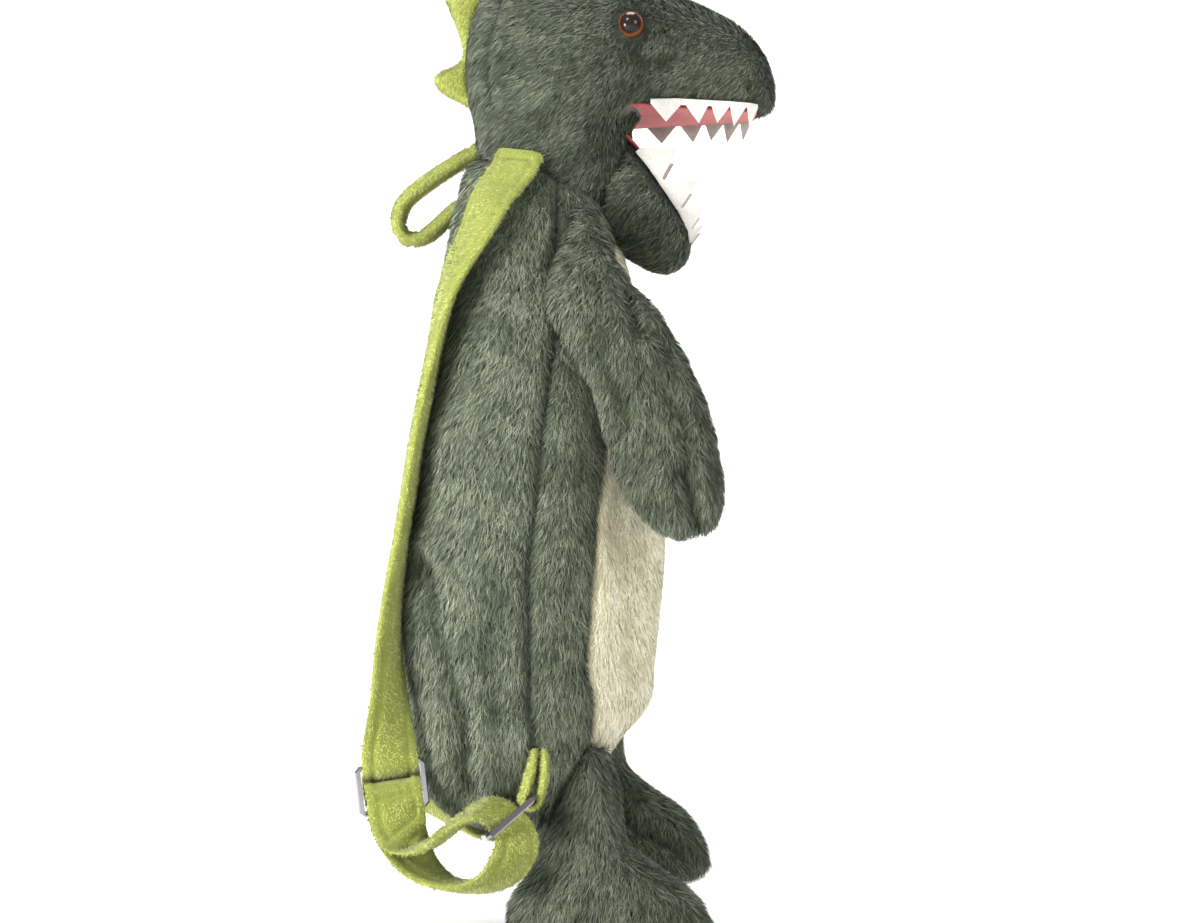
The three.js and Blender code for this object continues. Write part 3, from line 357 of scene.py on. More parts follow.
def press(mesh: Mesh, folds: Iterable[Fold]) -> np.ndarray:
    """Press creases into a mesh along its normals, where it faces sideways, with a soft shoulder beside each.

    Args:
        mesh: The mesh, in metres.
        folds: The creases.

    Returns:
        How far into a crease each point lies, from 0 to 1.
    """
    points, facing = corners_of(mesh), facing_of(mesh)
    flat, sideways = points[:, [0, 2]] / MM, np.abs(facing[:, 1]) ** 0.7
    move, within = np.zeros(len(points)), np.zeros(len(points))
    for fold in folds:
        away = segment_distance(flat, fold.points)
        shoulder = fold.shoulder * bell(away - fold.shoulder_at * fold.width, fold.width)
        move -= fold.depth * (bell(away, fold.width) - shoulder) * sideways
        floor = min(1.0, fold.depth / fold.bare_shaded_depth) * bell(away, fold.floor * fold.width)
        within = np.maximum(within, floor * sideways)
    put_corners(mesh, points + facing * (move * MM)[:, None])
    return within


def in_scene(name: str, data: ID) -> Object:
    """A new object in the scene, at the origin, around its data."""
    made = bpy.data.objects.new(name, data)
    bpy.context.scene.collection.objects.link(made)
    return made


def mesh_object(name: str, points: Sequence[Sequence[float]], faces: Sequence[Sequence[int]]) -> Object:
    """A new object at the origin from points in metres and their faces."""
    mesh = bpy.data.meshes.new(name)
    mesh.from_pydata([tuple(p) for p in points], [], [tuple(f) for f in faces])
    mesh.update()
    return in_scene(name, mesh)


def smooth(made: Object) -> None:
    """Smooth shading on every face."""
    made.data.polygons.foreach_set("use_smooth", [True] * len(made.data.polygons))


def modify(made: Object, kind: str, **settings: object) -> None:
    """Add a modifier with its settings."""
    modifier = made.modifiers.new(kind.lower(), kind)
    for name, value in settings.items():
        setattr(modifier, name, value)


def baked(made: Object) -> Object:
    """Apply the object's modifiers through the evaluated mesh."""
    bpy.context.view_layer.update()
    graph = bpy.context.evaluated_depsgraph_get()
    mesh = bpy.data.meshes.new_from_object(made.evaluated_get(graph), preserve_all_data_layers=True, depsgraph=graph)
    old = made.data
    made.modifiers.clear()
    made.data = mesh
    mesh.name = made.name
    bpy.data.meshes.remove(old)
    return made


def copy_of(node: str, name: str, quads: bool = False) -> Object:
    """A merged copy of a CAD node's mesh, as a new object at the origin.

    Args:
        node: The CAD node.
        name: The new object's name.
        quads: Whether the triangles are joined into four-sided faces.

    Returns:
        The new object.
    """
    mesh = bpy.data.objects[node].data.copy()
    mesh.materials.clear()
    shape = bmesh.new()
    shape.from_mesh(mesh)
    bmesh.ops.remove_doubles(shape, verts=shape.verts, dist=2e-5)
    if quads:
        bmesh.ops.join_triangles(shape, faces=shape.faces, angle_face_threshold=0.9, angle_shape_threshold=1.2)
    bmesh.ops.recalc_face_normals(shape, faces=shape.faces)
    shape.to_mesh(mesh)
    shape.free()
    return in_scene(name, mesh)


def tree_of(nodes: Iterable[str]) -> list[BVHTree]:
    """Search trees of CAD nodes, for telling what lies inside them."""
    meshes = [bpy.data.objects[node].data for node in nodes]
    return [BVHTree.FromPolygons([v.co.copy() for v in mesh.vertices], [tuple(p.vertices) for p in mesh.polygons])
            for mesh in meshes]


def crossings(tree: BVHTree, start: Vector) -> int:
    """How often a straight line from a point to the far outside crosses a closed mesh."""
    heading, past, most = Vector((0.137, 0.683, 0.717)).normalized(), 2e-6, 16
    count, place_at = 0, start
    while count < most:
        spot = tree.ray_cast(place_at, heading)[0]
        if spot is None:
            break
        count, place_at = count + 1, spot + heading * past
    return count


def buried(points: np.ndarray, nodes: Sequence[str], margin: float) -> np.ndarray:
    """Which points lie inside any of the CAD nodes, or nearer to one than the margin.

    Args:
        points: Points in metres, one a row.
        nodes: The CAD nodes.
        margin: Distance in metres at which a point counts as covered.

    Returns:
        One truth value for each point.
    """
    hidden = np.zeros(len(points), dtype=bool)
    for tree in tree_of(nodes):
        for i, point in enumerate(points):
            if hidden[i]:
                continue
            place_at = Vector(point)
            hidden[i] = tree.find_nearest(place_at, margin)[0] is not None or crossings(tree, place_at) % 2 == 1
    return hidden


def note(mesh: Mesh, name: str, values: np.ndarray) -> None:
    """Keep one number for each point of a mesh as a named attribute."""
    layer = mesh.attributes.get(name) or mesh.attributes.new(name, "FLOAT", "POINT")
    layer.data.foreach_set("value", np.asarray(values, dtype=np.float32))


class Pile:
    """Grows plush pile on a skin with Geometry Nodes and bakes it into the piece."""

    @staticmethod
    def backing(finish: PlushFinish) -> Material:
        """The cloth under the pile."""
        red, green, blue = finish.backing
        return Shop.cloth(finish.name + "_backing", (red * 0.72, green * 0.72, blue * 0.72), finish.backing, 0.9, 0.8)

    @staticmethod
    @cache
    def tree(finish: PlushFinish) -> NodeTree:
        """The tree that scatters, turns, shades and realizes the strands.

        Args:
            finish: The plush finish.

        Returns:
            The node tree, with named inputs for its sizes.
        """
        tree = bpy.data.node_groups.new("pile_" + finish.name, "GeometryNodeTree")
        for name, kind in {"Skin": "Geometry", "Strands per m2": "Float", "Length": "Float", "Breadth": "Float",
                           "Wildness": "Float", "Lift": "Float", "Roll": "Float", "Comb": "Vector",
                           "Seed": "Int"}.items():
            tree.interface.new_socket(name, in_out="INPUT", socket_type="NodeSocket" + kind)
        tree.interface.new_socket("Plush", in_out="OUTPUT", socket_type="NodeSocketGeometry")
        given = add(tree, "NodeGroupInput", {}).outputs
        leave = add(tree, "NodeGroupOutput", {})

        def vector(operation: str, *feeds: object, scale: object = None) -> NodeSocket:
            """A vector step fed by sockets or numbers."""
            given_scale = {} if scale is None else {"Scale": scale}
            made = add(tree, "ShaderNodeVectorMath", dict(enumerate(feeds)) | given_scale, operation=operation)
            return made.outputs["Value" if operation == "DOT_PRODUCT" else "Vector"]

        def number(operation: str, *feeds: object) -> NodeSocket:
            """A number step fed by sockets or numbers."""
            return add(tree, "ShaderNodeMath", dict(enumerate(feeds)), operation=operation).outputs[0]

        def chance(low: object, high: object, turn: int) -> NodeSocket:
            """A seeded random number or vector for each strand."""
            kind, first = ("FLOAT", 2) if isinstance(low, float) else ("FLOAT_VECTOR", 0)
            seed = number("ADD", given["Seed"], float(turn))
            made = add(tree, "FunctionNodeRandomValue", {first: low, first + 1: high, "Seed": seed}, data_type=kind)
            return made.outputs[first // 2]

        def any_way(turn: int) -> NodeSocket:
            """A seeded random vector with each number from -1 to 1."""
            return chance((-1.0, -1.0, -1.0), (1.0, 1.0, 1.0), turn)

        def noise(size: float, output: str) -> NodeSocket:
            """Smooth noise over the piece."""
            return add(tree, "ShaderNodeTexNoise", {"Scale": size, "Detail": 2.0}).outputs[output]

        def held(name: str) -> NodeSocket:
            """A number kept on the points under a name."""
            made = add(tree, "GeometryNodeInputNamedAttribute", {"Name": name}, data_type="FLOAT")
            return made.outputs["Attribute"]

        def hold(name: str, kind: str, points: NodeSocket, value: NodeSocket) -> NodeSocket:
            """Points with one more value kept on each."""
            return add(tree, "GeometryNodeStoreNamedAttribute", {"Geometry": points, "Name": name, "Value": value},
                       data_type=kind, domain="POINT").outputs["Geometry"]

        def corner(which: int) -> NodeSocket:
            """Whether a blade's point is the corner with this number."""
            return add(tree, "FunctionNodeCompare", {2: index, 3: which}, data_type="INT",
                       operation="EQUAL").outputs[0]

        nap = held("nap")
        scatter = add(tree, "GeometryNodeDistributePointsOnFaces",
                      {"Mesh": given["Skin"], "Density": number("MULTIPLY", given["Strands per m2"], nap),
                       "Seed": given["Seed"]})
        facing = scatter.outputs["Normal"]
        along = vector("DOT_PRODUCT", given["Comb"], facing)
        flat = vector("NORMALIZE", vector("SUBTRACT", given["Comb"], vector("SCALE", facing, scale=along)))
        drift = vector("SUBTRACT", noise(42.0, "Color"), (0.5, 0.5, 0.5))
        loose = vector("ADD", vector("SCALE", drift, scale=2.6), any_way(1))
        swayed = vector("ADD", flat, vector("SCALE", loose, scale=given["Wildness"]))
        level = vector("SUBTRACT", swayed, vector("SCALE", facing, scale=vector("DOT_PRODUCT", swayed, facing)))
        heading = vector("ADD", vector("NORMALIZE", level), vector("SCALE", facing, scale=given["Lift"]))
        roll = vector("ADD", facing, vector("SCALE", any_way(4), scale=given["Roll"]))
        turn = add(tree, "FunctionNodeAxesToRotation", {"Primary Axis": heading, "Secondary Axis": roll},
                   primary_axis="Z", secondary_axis="Y")
        blade = add(tree, "GeometryNodeMeshCircle", {"Vertices": 3, "Radius": 1.0}, fill_type="NGON")
        index = add(tree, "GeometryNodeInputIndex", {}).outputs["Index"]
        is_tip = corner(0)
        foot = number("MULTIPLY", number("SUBTRACT", corner(1), 0.5), number("SUBTRACT", 1.0, is_tip))
        where = add(tree, "ShaderNodeCombineXYZ", {"X": foot, "Z": is_tip}).outputs["Vector"]
        shaped = add(tree, "GeometryNodeSetPosition", {"Geometry": blade.outputs["Mesh"], "Position": where})
        longer = number("MULTIPLY", given["Length"], chance(0.65, 1.1, 2))
        size = add(tree, "ShaderNodeCombineXYZ", {"X": given["Breadth"], "Y": 1.0,
                                                  "Z": number("MULTIPLY", longer, number("POWER", nap, 0.5))})
        tufts = number("MULTIPLY", number("SUBTRACT", noise(60.0, "Fac"), 0.5), 4.2)
        # Lower nap picks darker strands: painted shade in creases, along seams and stitch grooves, and where the pile
        # is cut short round the zip and eyes.
        sunk = number("MULTIPLY", number("SUBTRACT", 1.0, nap), -6.0)
        picked = number("ADD", number("ADD", chance(0.2, 4.8, 3), tufts), sunk)
        bounded = number("ADD", number("FLOOR", number("MINIMUM", number("MAXIMUM", picked, 0.0), 4.99)), 1.0)
        points = hold("shade", "FLOAT", hold("facing", "FLOAT_VECTOR", scatter.outputs["Points"], facing), bounded)
        plant = add(tree, "GeometryNodeInstanceOnPoints",
                    {"Points": points, "Instance": shaped.outputs["Geometry"], "Rotation": turn.outputs["Rotation"],
                     "Scale": size.outputs["Vector"]})
        join = add(tree, "GeometryNodeJoinGeometry", {"Geometry": plant.outputs["Instances"]})
        feed(join, {"Geometry": given["Skin"]})
        last = add(tree, "GeometryNodeRealizeInstances", {"Geometry": join.outputs["Geometry"]}).outputs["Geometry"]
        shade = held("shade")
        materials = [Pile.backing(finish)]
        materials += [Shop.strand(f"{finish.name}_{i}", colour) for i, colour in enumerate(finish.shades, 1)]
        for i, material in enumerate(materials):
            chosen = add(tree, "FunctionNodeCompare", {0: shade, 1: float(i), "Epsilon": 0.3}, data_type="FLOAT",
                         operation="EQUAL")
            last = add(tree, "GeometryNodeSetMaterial", {"Material": material, "Geometry": last,
                                                         "Selection": chosen.outputs[0]}).outputs["Geometry"]
        feed(leave, {"Plush": last})
        return tree

    @staticmethod
    def grow(made: Object, finish: PlushFinish, seed: int, share: float = 1.0) -> None:
        """Grow pile on a piece and bake it, with the strands lit as the skin under them.

        Args:
            made: The piece's skin, with a nap attribute from 0, bare, to 1, full; lower nap also picks darker
                strands, a painted shade.
            finish: The plush finish.
            seed: The seed of the scatter.
            share: Part of the finish's strands to grow.
        """
        smooth(made)
        tree = Pile.tree(finish)
        modifier = made.modifiers.new("pile", "NODES")
        modifier.node_group = tree
        values = {"Strands per m2": finish.per_mm2 * 1e6 * share, "Length": finish.pile_mm * MM,
                  "Breadth": finish.blade_mm * MM, "Wildness": finish.wild, "Lift": finish.lift, "Roll": finish.roll,
                  "Comb": finish.comb, "Seed": seed}
        for item in tree.interface.items_tree:
            if item.in_out == "INPUT" and item.name in values:
                modifier[item.identifier] = values[item.name]
        skin_facing, skin_count = facing_of(made.data), len(made.data.vertices)
        baked(made)
        mesh = made.data
        facing = np.zeros(len(mesh.vertices) * 3, dtype=np.float32)
        mesh.attributes["facing"].data.foreach_get("vector", facing)
        facing = facing.reshape(-1, 3)
        shade = np.zeros(len(mesh.vertices), dtype=np.float32)
        mesh.attributes["shade"].data.foreach_get("value", shade)
        bare = shade < 0.5
        facing[bare] = skin_facing if bare.sum() == skin_count else facing_of(mesh)[bare]
        smooth(made)
        mesh.normals_split_custom_set_from_vertices(facing.tolist())
        for name in ("facing", "shade", "nap"):
            mesh.attributes.remove(mesh.attributes[name])


def place(made: Object, node: str) -> None:
    """Hand a finished piece to the frame.

    Args:
        made: The piece.
        node: The CAD node that it stands for.
    """
    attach(made, "root")
    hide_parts(node)
    LOG.info("%s: %d triangles", made.name, sum(len(p.vertices) - 2 for p in made.data.polygons))


@dataclass
class Bag:
    """The body: back, side and belly panels of one stuffed shell, sewn along sunk seams.

    Lengths are in millimetres. Each row of sections gives the height, the back and front of the depth, and the
    half width, all as shares.
    """

    height: float = 330.0
    depth: float = 124.0
    width: float = 150.0
    bottom: float = -172.0
    back: float = -7.0
    wall: float = 2.2
    zip_half: float = 3.6
    zip_run: tuple[float, float] = (0.34, 0.92)
    bare_run: tuple[float, float] = (0.33, 0.93)
    belly_run: tuple[float, float] = (0.0752, 0.9148)
    seam_depth: float = 1.9
    seam_width: float = 3.2
    puff: float = 1.1
    puff_reach: float = 16.0
    first_seed: int = 11
    sections: tuple[tuple[float, float, float, float], ...] = (
        (0, .4, .52, .38), (.009, .275, .605, .6), (.024, .18, .665, .7), (.052, .105, .71, .79),
        (.085, .06, .765, .86), (.125, .037, .835, .9), (.17, .027, .935, .93), (.235, .01, .963, .96),
        (.31, 0, .985, .98), (.4, .018, 1.003, 1), (.47, .048, 1, .99), (.575, .072, .986, .97),
        (.66, .115, .962, .9), (.76, .146, .895, .8), (.855, .185, .835, .68), (.92, .22, .79, .58),
        (.97, .262, .735, .46), (1, .34, .64, .3))
    side_seam: tuple[tuple[float, float], ...] = (
        (-.05, .56), (.11, .525), (.2, .496), (.39, .496), (.465, .522), (.58, .548), (.712, .597), (1.05, .6))
    belly_leaf: tuple[tuple[float, float], ...] = (
        (.075, 0), (.086, .36), (.104, .56), (.13, .72), (.165, .83), (.24, .89), (.46, .89), (.64, .8),
        (.76, .62), (.85, .38), (.9, .14), (.915, 0))
    folds: tuple[Fold, ...] = (
        Fold(((5.0, -43.8), (10.6, -72.4), (18.1, -101.0), (22.3, -114.2), (24.2, -128.7), (22.3, -138.6),
              (26.1, -149.8)), 6.6, 5.2),
        Fold(((40.0, -60.0), (34.0, -84.0), (40.0, -112.0)), 1.2, 6.0),
        Fold(((98.0, 0.2), (97.0, -33.2), (100.9, -61.9), (99.9, -90.5)), 2.4, 4.0),
        Fold(((109.0, -8.0), (107.0, -40.0), (111.0, -76.0)), 1.4, 4.0),
        Fold(((92.0, 20.0), (95.0, -10.0), (93.0, -40.0)), 1.4, 3.6))
    hidden_by: tuple[str, ...] = ("head", "leg_right", "leg_left")

    def eased(self, column: int, up: float) -> float:
        """A section column read smoothly between its rows.

        Args:
            column: Which column of the sections.
            up: Height as a share.

        Returns:
            The column's value.
        """
        rows, at = np.array(self.sections), np.array([up])
        ups, values = rows[:, 0], rows[:, column]
        slopes = np.gradient(values, ups)
        i = np.clip(np.searchsorted(ups, at, side="right") - 1, 0, len(ups) - 2)
        run = ups[i + 1] - ups[i]
        t = (at - ups[i]) / run
        return float(((2 * t ** 3 - 3 * t ** 2 + 1) * values[i] + (t ** 3 - 2 * t ** 2 + t) * run * slopes[i]
                      + (-2 * t ** 3 + 3 * t ** 2) * values[i + 1] + (t ** 3 - t ** 2) * run * slopes[i + 1])[0])

    def half_outline(self, up: float) -> tuple[np.ndarray, np.ndarray]:
        """One section's outline from the front round one side to the back.

        Args:
            up: Height as a share.

        Returns:
            Points as (x, y) in millimetres, and the length along them.
        """
        x0, x1 = (self.back + self.depth * self.eased(column, up) for column in (1, 2))
        half = self.width / 2 * self.eased(3, up)
        angle = np.linspace(0.0, math.pi, 500)
        c, s = np.cos(angle), np.abs(np.sin(angle))
        power = np.where(c < 0, 2 / 2.5, 2 / 2.1)  # squarer at the back than at the front
        x = (x0 + x1) / 2 + np.sign(c) * (x1 - x0) / 2 * np.abs(c) ** power * np.where(c < 0, 1.08, 1.0)
        points = np.stack([np.maximum(x, x0), half * s ** power], axis=1)
        run = np.concatenate([[0.0], np.cumsum(np.linalg.norm(np.diff(points, axis=0), axis=1))])
        return points, run

    def panel(self, name: str, columns: int) -> Object:
        """One panel as a thin sewn shell with its outer and inner faces.

        Args:
            name: Panel name: back, belly, right or left.
            columns: Points across each half of the panel.

        Returns:
            The panel's object.
        """
        rows, seam_away = [], []
        ends = np.linspace(0.0, 0.03, 7)[:-1]  # rows are closer together where the ends curve in
        heights = np.concatenate([ends, np.linspace(0.03, 0.97, 110), 1.0 - ends[::-1]])
        if name == "belly":
            heights = heights[(heights > self.belly_run[0]) & (heights < self.belly_run[1])]
        leaf, seam = np.array(self.belly_leaf), np.array(self.side_seam)
        for up in heights:
            points, run = self.half_outline(float(up))
            wide = float(np.interp(up, leaf[:, 0], leaf[:, 1], left=0.0, right=0.0)) * points[:, 1].max()
            front = points[:, 0] > self.back + self.depth * 0.5
            leaf_run = float(np.interp(wide, points[front][:, 1], run[front])) if wide > 0 else 0.0
            at_seam = self.back + self.depth * float(np.interp(up, seam[:, 0], seam[:, 1]))
            seam_run = float(np.interp(-at_seam, -points[:, 0], run))
            zip_half = self.zip_half if self.zip_run[0] < up < self.zip_run[1] else 0.0
            start, end = {"belly": (0.0, leaf_run), "back": (seam_run, run[-1] - zip_half)}.get(
                name, (leaf_run, seam_run))
            steps = np.linspace(start, max(end, start + 0.01), columns)
            rows.append(np.stack([np.interp(steps, run, points[:, 0]), np.interp(steps, run, points[:, 1]),
                                  np.full(columns, self.bottom + self.height * up)], axis=1))
            seam_away.append({"belly": end - steps, "back": steps - start}.get(
                name, np.minimum(steps - start, end - steps)))
        left, away = np.array(rows), np.array(seam_away)
        right = left[:, ::-1] * np.array([1.0, -1.0, 1.0])
        halves = {"back": (left, right), "belly": (right, left), "right": (right,)}.get(name, (left,))
        gaps = [away if half is left else away[:, ::-1] for half in halves]
        return self.shell(name, np.concatenate(halves, axis=1), np.concatenate(gaps, axis=1))

    def shell(self, name: str, grid: np.ndarray, away: np.ndarray) -> Object:
        """Turn a grid of points into a sewn panel with sunk seams, puff, folds and an inner face.

        Args:
            name: Panel name.
            grid: Points in millimetres, rows by columns.
            away: Distance of each point from the nearest seam.

        Returns:
            The panel's object.
        """
        tall, across = grid.shape[:2]
        skin = mesh_object("panel_" + name, grid.reshape(-1, 3) * MM,
                           [(r * across + c, r * across + c + 1, (r + 1) * across + c + 1, (r + 1) * across + c)
                            for r in range(tall - 1) for c in range(across - 1)])
        facing = facing_of(skin.data)
        centre = np.array([self.back + self.depth * 0.5, 0.0]) * MM
        points = corners_of(skin.data)
        outward = ((points[:, :2] - centre) * facing[:, :2]).sum(axis=1).sum()
        if outward < 0:
            skin.data.flip_normals()
            facing = -facing
        gap = away.reshape(-1)
        sunk = self.puff * (1.0 - bell(gap, self.puff_reach)) - self.seam_depth * bell(gap, self.seam_width)
        put_corners(skin.data, points + facing * (sunk * MM)[:, None])
        within = press(skin.data, self.folds)
        modify(skin, "SOLIDIFY", thickness=self.wall * MM, offset=-1.0)
        baked(skin)
        points = corners_of(skin.data)
        count = tall * across
        nap = np.zeros(len(points))
        # Shorter pile along the seams and in the creases; its lower nap also picks darker strands there, a painted
        # shade.
        nap[:count] = (1.0 - 0.5 * bell(gap, 2.6)) * (1.0 - 0.4 * within)
        if name == "back":
            up = (points[:count, 2] / MM - self.bottom) / self.height
            near_zip = (up > self.bare_run[0]) & (up < self.bare_run[1]) & (points[:count, 0] < 0.05)
            from_zip = np.abs(points[:count, 1]) / MM
            nap[:count] *= np.where(near_zip, np.clip((from_zip - 4.0) / 6.0, 0.06, 1.0), 1.0)
        nap[:count][buried(points[:count], self.hidden_by, 0.0005)] = 0.0
        note(skin.data, "nap", nap)
        return skin

    def build(self) -> None:
        """Make the four panels, grow their pile and hand them over."""
        panels = (("back", "back_panel", GREEN_PLUSH, 34), ("belly", "belly_panel", CREAM_PLUSH, 22),
                  ("right", "side_panel_right", SHADED_SIDE_PLUSH, 22), ("left", "side_panel_left", SHADED_SIDE_PLUSH, 22))
        for seed, (name, node, finish, columns) in enumerate(panels, self.first_seed):
            made = self.panel(name, columns)
            made.name = node + "_plush"
            Pile.grow(made, finish, seed)
            place(made, node)


@dataclass
class Stuffed:
    """A stuffed plush form that stands for one CAD node.

    Its even faces are a voxel in size, and the stuffing moves no point by more than the cap, both in
    millimetres. Pile is shorter within the clearance, in metres, of the nodes that it must not cover, and its
    strands darker there, a painted shade.
    """

    node: str
    finish: PlushFinish
    seed: int
    voxel: float = 4.0
    cap: float = 2.0
    pressure: float = 4.0
    frames: int = 20
    fill: float = 0.8
    clearance: float = 0.0035
    shortest: float = 0.25
    folds: tuple[Fold, ...] = ()
    hidden_by: tuple[str, ...] = ()
    clear_of: tuple[str, ...] = ()

    def inflate(self, made: Object) -> None:
        """Inflate the form with cloth simulation, within the cap."""
        before = corners_of(made.data)
        cloth = made.modifiers.new("stuffing", "CLOTH")
        cloth.settings.use_pressure = True
        cloth.settings.uniform_pressure_force = self.pressure
        cloth.settings.effector_weights.gravity = 0.0
        cloth.settings.quality = 4
        cloth.point_cache.frame_start, cloth.point_cache.frame_end = 1, self.frames
        scene = bpy.context.scene
        for frame in range(1, self.frames + 1):
            scene.frame_set(frame)
        baked(made)
        scene.frame_set(1)
        moved = corners_of(made.data) - before
        far = np.linalg.norm(moved, axis=1)
        kept = np.minimum(1.0, self.cap * MM / np.maximum(far, 1e-9))
        put_corners(made.data, before + moved * kept[:, None])

    def form(self) -> Object:
        """The smooth stuffed form, inflated."""
        made = copy_of(self.node, self.node + "_plush")
        modify(made, "REMESH", mode="VOXEL", voxel_size=self.voxel * MM)
        modify(made, "SMOOTH", factor=0.5, iterations=4)
        baked(made)
        put_corners(made.data, corners_of(made.data) - facing_of(made.data) * MM)  # room for the stuffing
        self.inflate(made)
        modify(made, "SUBSURF", levels=1, render_levels=1)
        return baked(made)

    def cleared(self, points: np.ndarray) -> np.ndarray:
        """Shorter pile close to the nodes that it must not cover.

        Args:
            points: Points in metres, one a row.

        Returns:
            A factor for each point.
        """
        factor = np.ones(len(points))
        for tree in tree_of(self.clear_of):
            for i, point in enumerate(points):
                spot, _, _, away = tree.find_nearest(Vector(point), self.clearance)
                if spot is not None:
                    rest = (1.0 - self.shortest) * (away / self.clearance)
                    factor[i] = min(factor[i], self.shortest + rest)
        return factor

    def build(self) -> None:
        """Make the form, grow its pile where it shows, and hand it over."""
        made = self.form()
        # Shorter pile in the creases; its lower nap also picks darker strands there, a painted shade.
        nap = 1.0 - 0.4 * press(made.data, self.folds)
        points = corners_of(made.data)
        nap *= self.cleared(points)
        nap[buried(points, self.hidden_by, 0.0008)] = 0.0
        note(made.data, "nap", nap)
        Pile.grow(made, self.finish, self.seed)
        place(made, self.node)


@dataclass
class Harness:
    """Shoulder straps, carrying loop, ring tabs and soles: flat sewn plush parts, with lengths in millimetres."""

    stitch_in: float = 5.4
    stitch_width: float = 0.9
    groove: float = 1.0
    puff: float = 0.35
    puff_reach: float = 5.0
    fill: float = 0.5

    def band(self, node: str, finish: PlushFinish, seed: int, padded: bool, levels: int = 3, share: float = 1.0,
             hidden_by: tuple[str, ...] = ()) -> None:
        """Soften a flat sewn part, sink its stitch lines and grow a short nap.

        Args:
            node: The CAD node that it stands for.
            finish: The plush finish.
            seed: The seed of the nap.
            padded: Whether it is padded, with stitch lines near its edges.
            levels: Subdivision levels.
            share: Part of the finish's strands.
            hidden_by: CAD nodes that cover it in part.
        """
        made = copy_of(node, node + "_plush", quads=True)
        edges = self.sharp_line(made.data)
        modify(made, "SUBSURF", levels=levels, render_levels=levels)
        baked(made)
        points, facing = corners_of(made.data), facing_of(made.data)
        nap = np.ones(len(points))
        if len(edges):
            away = self.nearest(points, edges) / MM
            puff = self.puff * (1.0 - bell(away, self.puff_reach))
            if padded:
                line = bell(away - self.stitch_in, self.stitch_width)
                puff = puff - self.groove * line
                # Shorter pile along the stitch line; its lower nap also picks darker strands in the groove, a painted
                # shade.
                nap = 1.0 - 0.75 * line
            put_corners(made.data, points + facing * (puff * MM)[:, None])
        nap[buried(points, hidden_by, 0.0003)] = 0.0
        note(made.data, "nap", nap)
        Pile.grow(made, finish, seed, share)
        place(made, node)

    @staticmethod
    def sharp_line(mesh: Mesh) -> np.ndarray:
        """Points every millimetre along the mesh's sharp edges."""
        shape = bmesh.new()
        shape.from_mesh(mesh)
        found = []
        for edge in shape.edges:
            if len(edge.link_faces) == 2 and edge.calc_face_angle(0.0) > 1.0:
                a, b = (np.array(v.co) for v in edge.verts)
                steps = max(2, int(np.linalg.norm(b - a) / MM))
                found += [a + (b - a) * t for t in np.linspace(0.0, 1.0, steps)]
        shape.free()
        return np.array(found)

    @staticmethod
    def nearest(points: np.ndarray, marks: np.ndarray) -> np.ndarray:
        """Distance from each point to the nearest mark."""
        search = KDTree(len(marks))
        for i, mark in enumerate(marks):
            search.insert(mark, i)
        search.balance()
        return np.array([search.find(p)[2] for p in points])

    def build(self) -> None:
        """Make every flat sewn part."""
        for n, side in enumerate(("right", "left")):
            self.band(f"strap_{side}", LIME_PLUSH, 51 + n, True, share=0.55)
            self.band(f"ring_tab_{side}", LIME_PLUSH, 53 + n, False, levels=2)
            self.band(f"sole_{side}", SOLE_PLUSH, 55 + n, False, hidden_by=(f"leg_{side}",))
        self.band("grab_loop", LIME_PLUSH, 57, True)


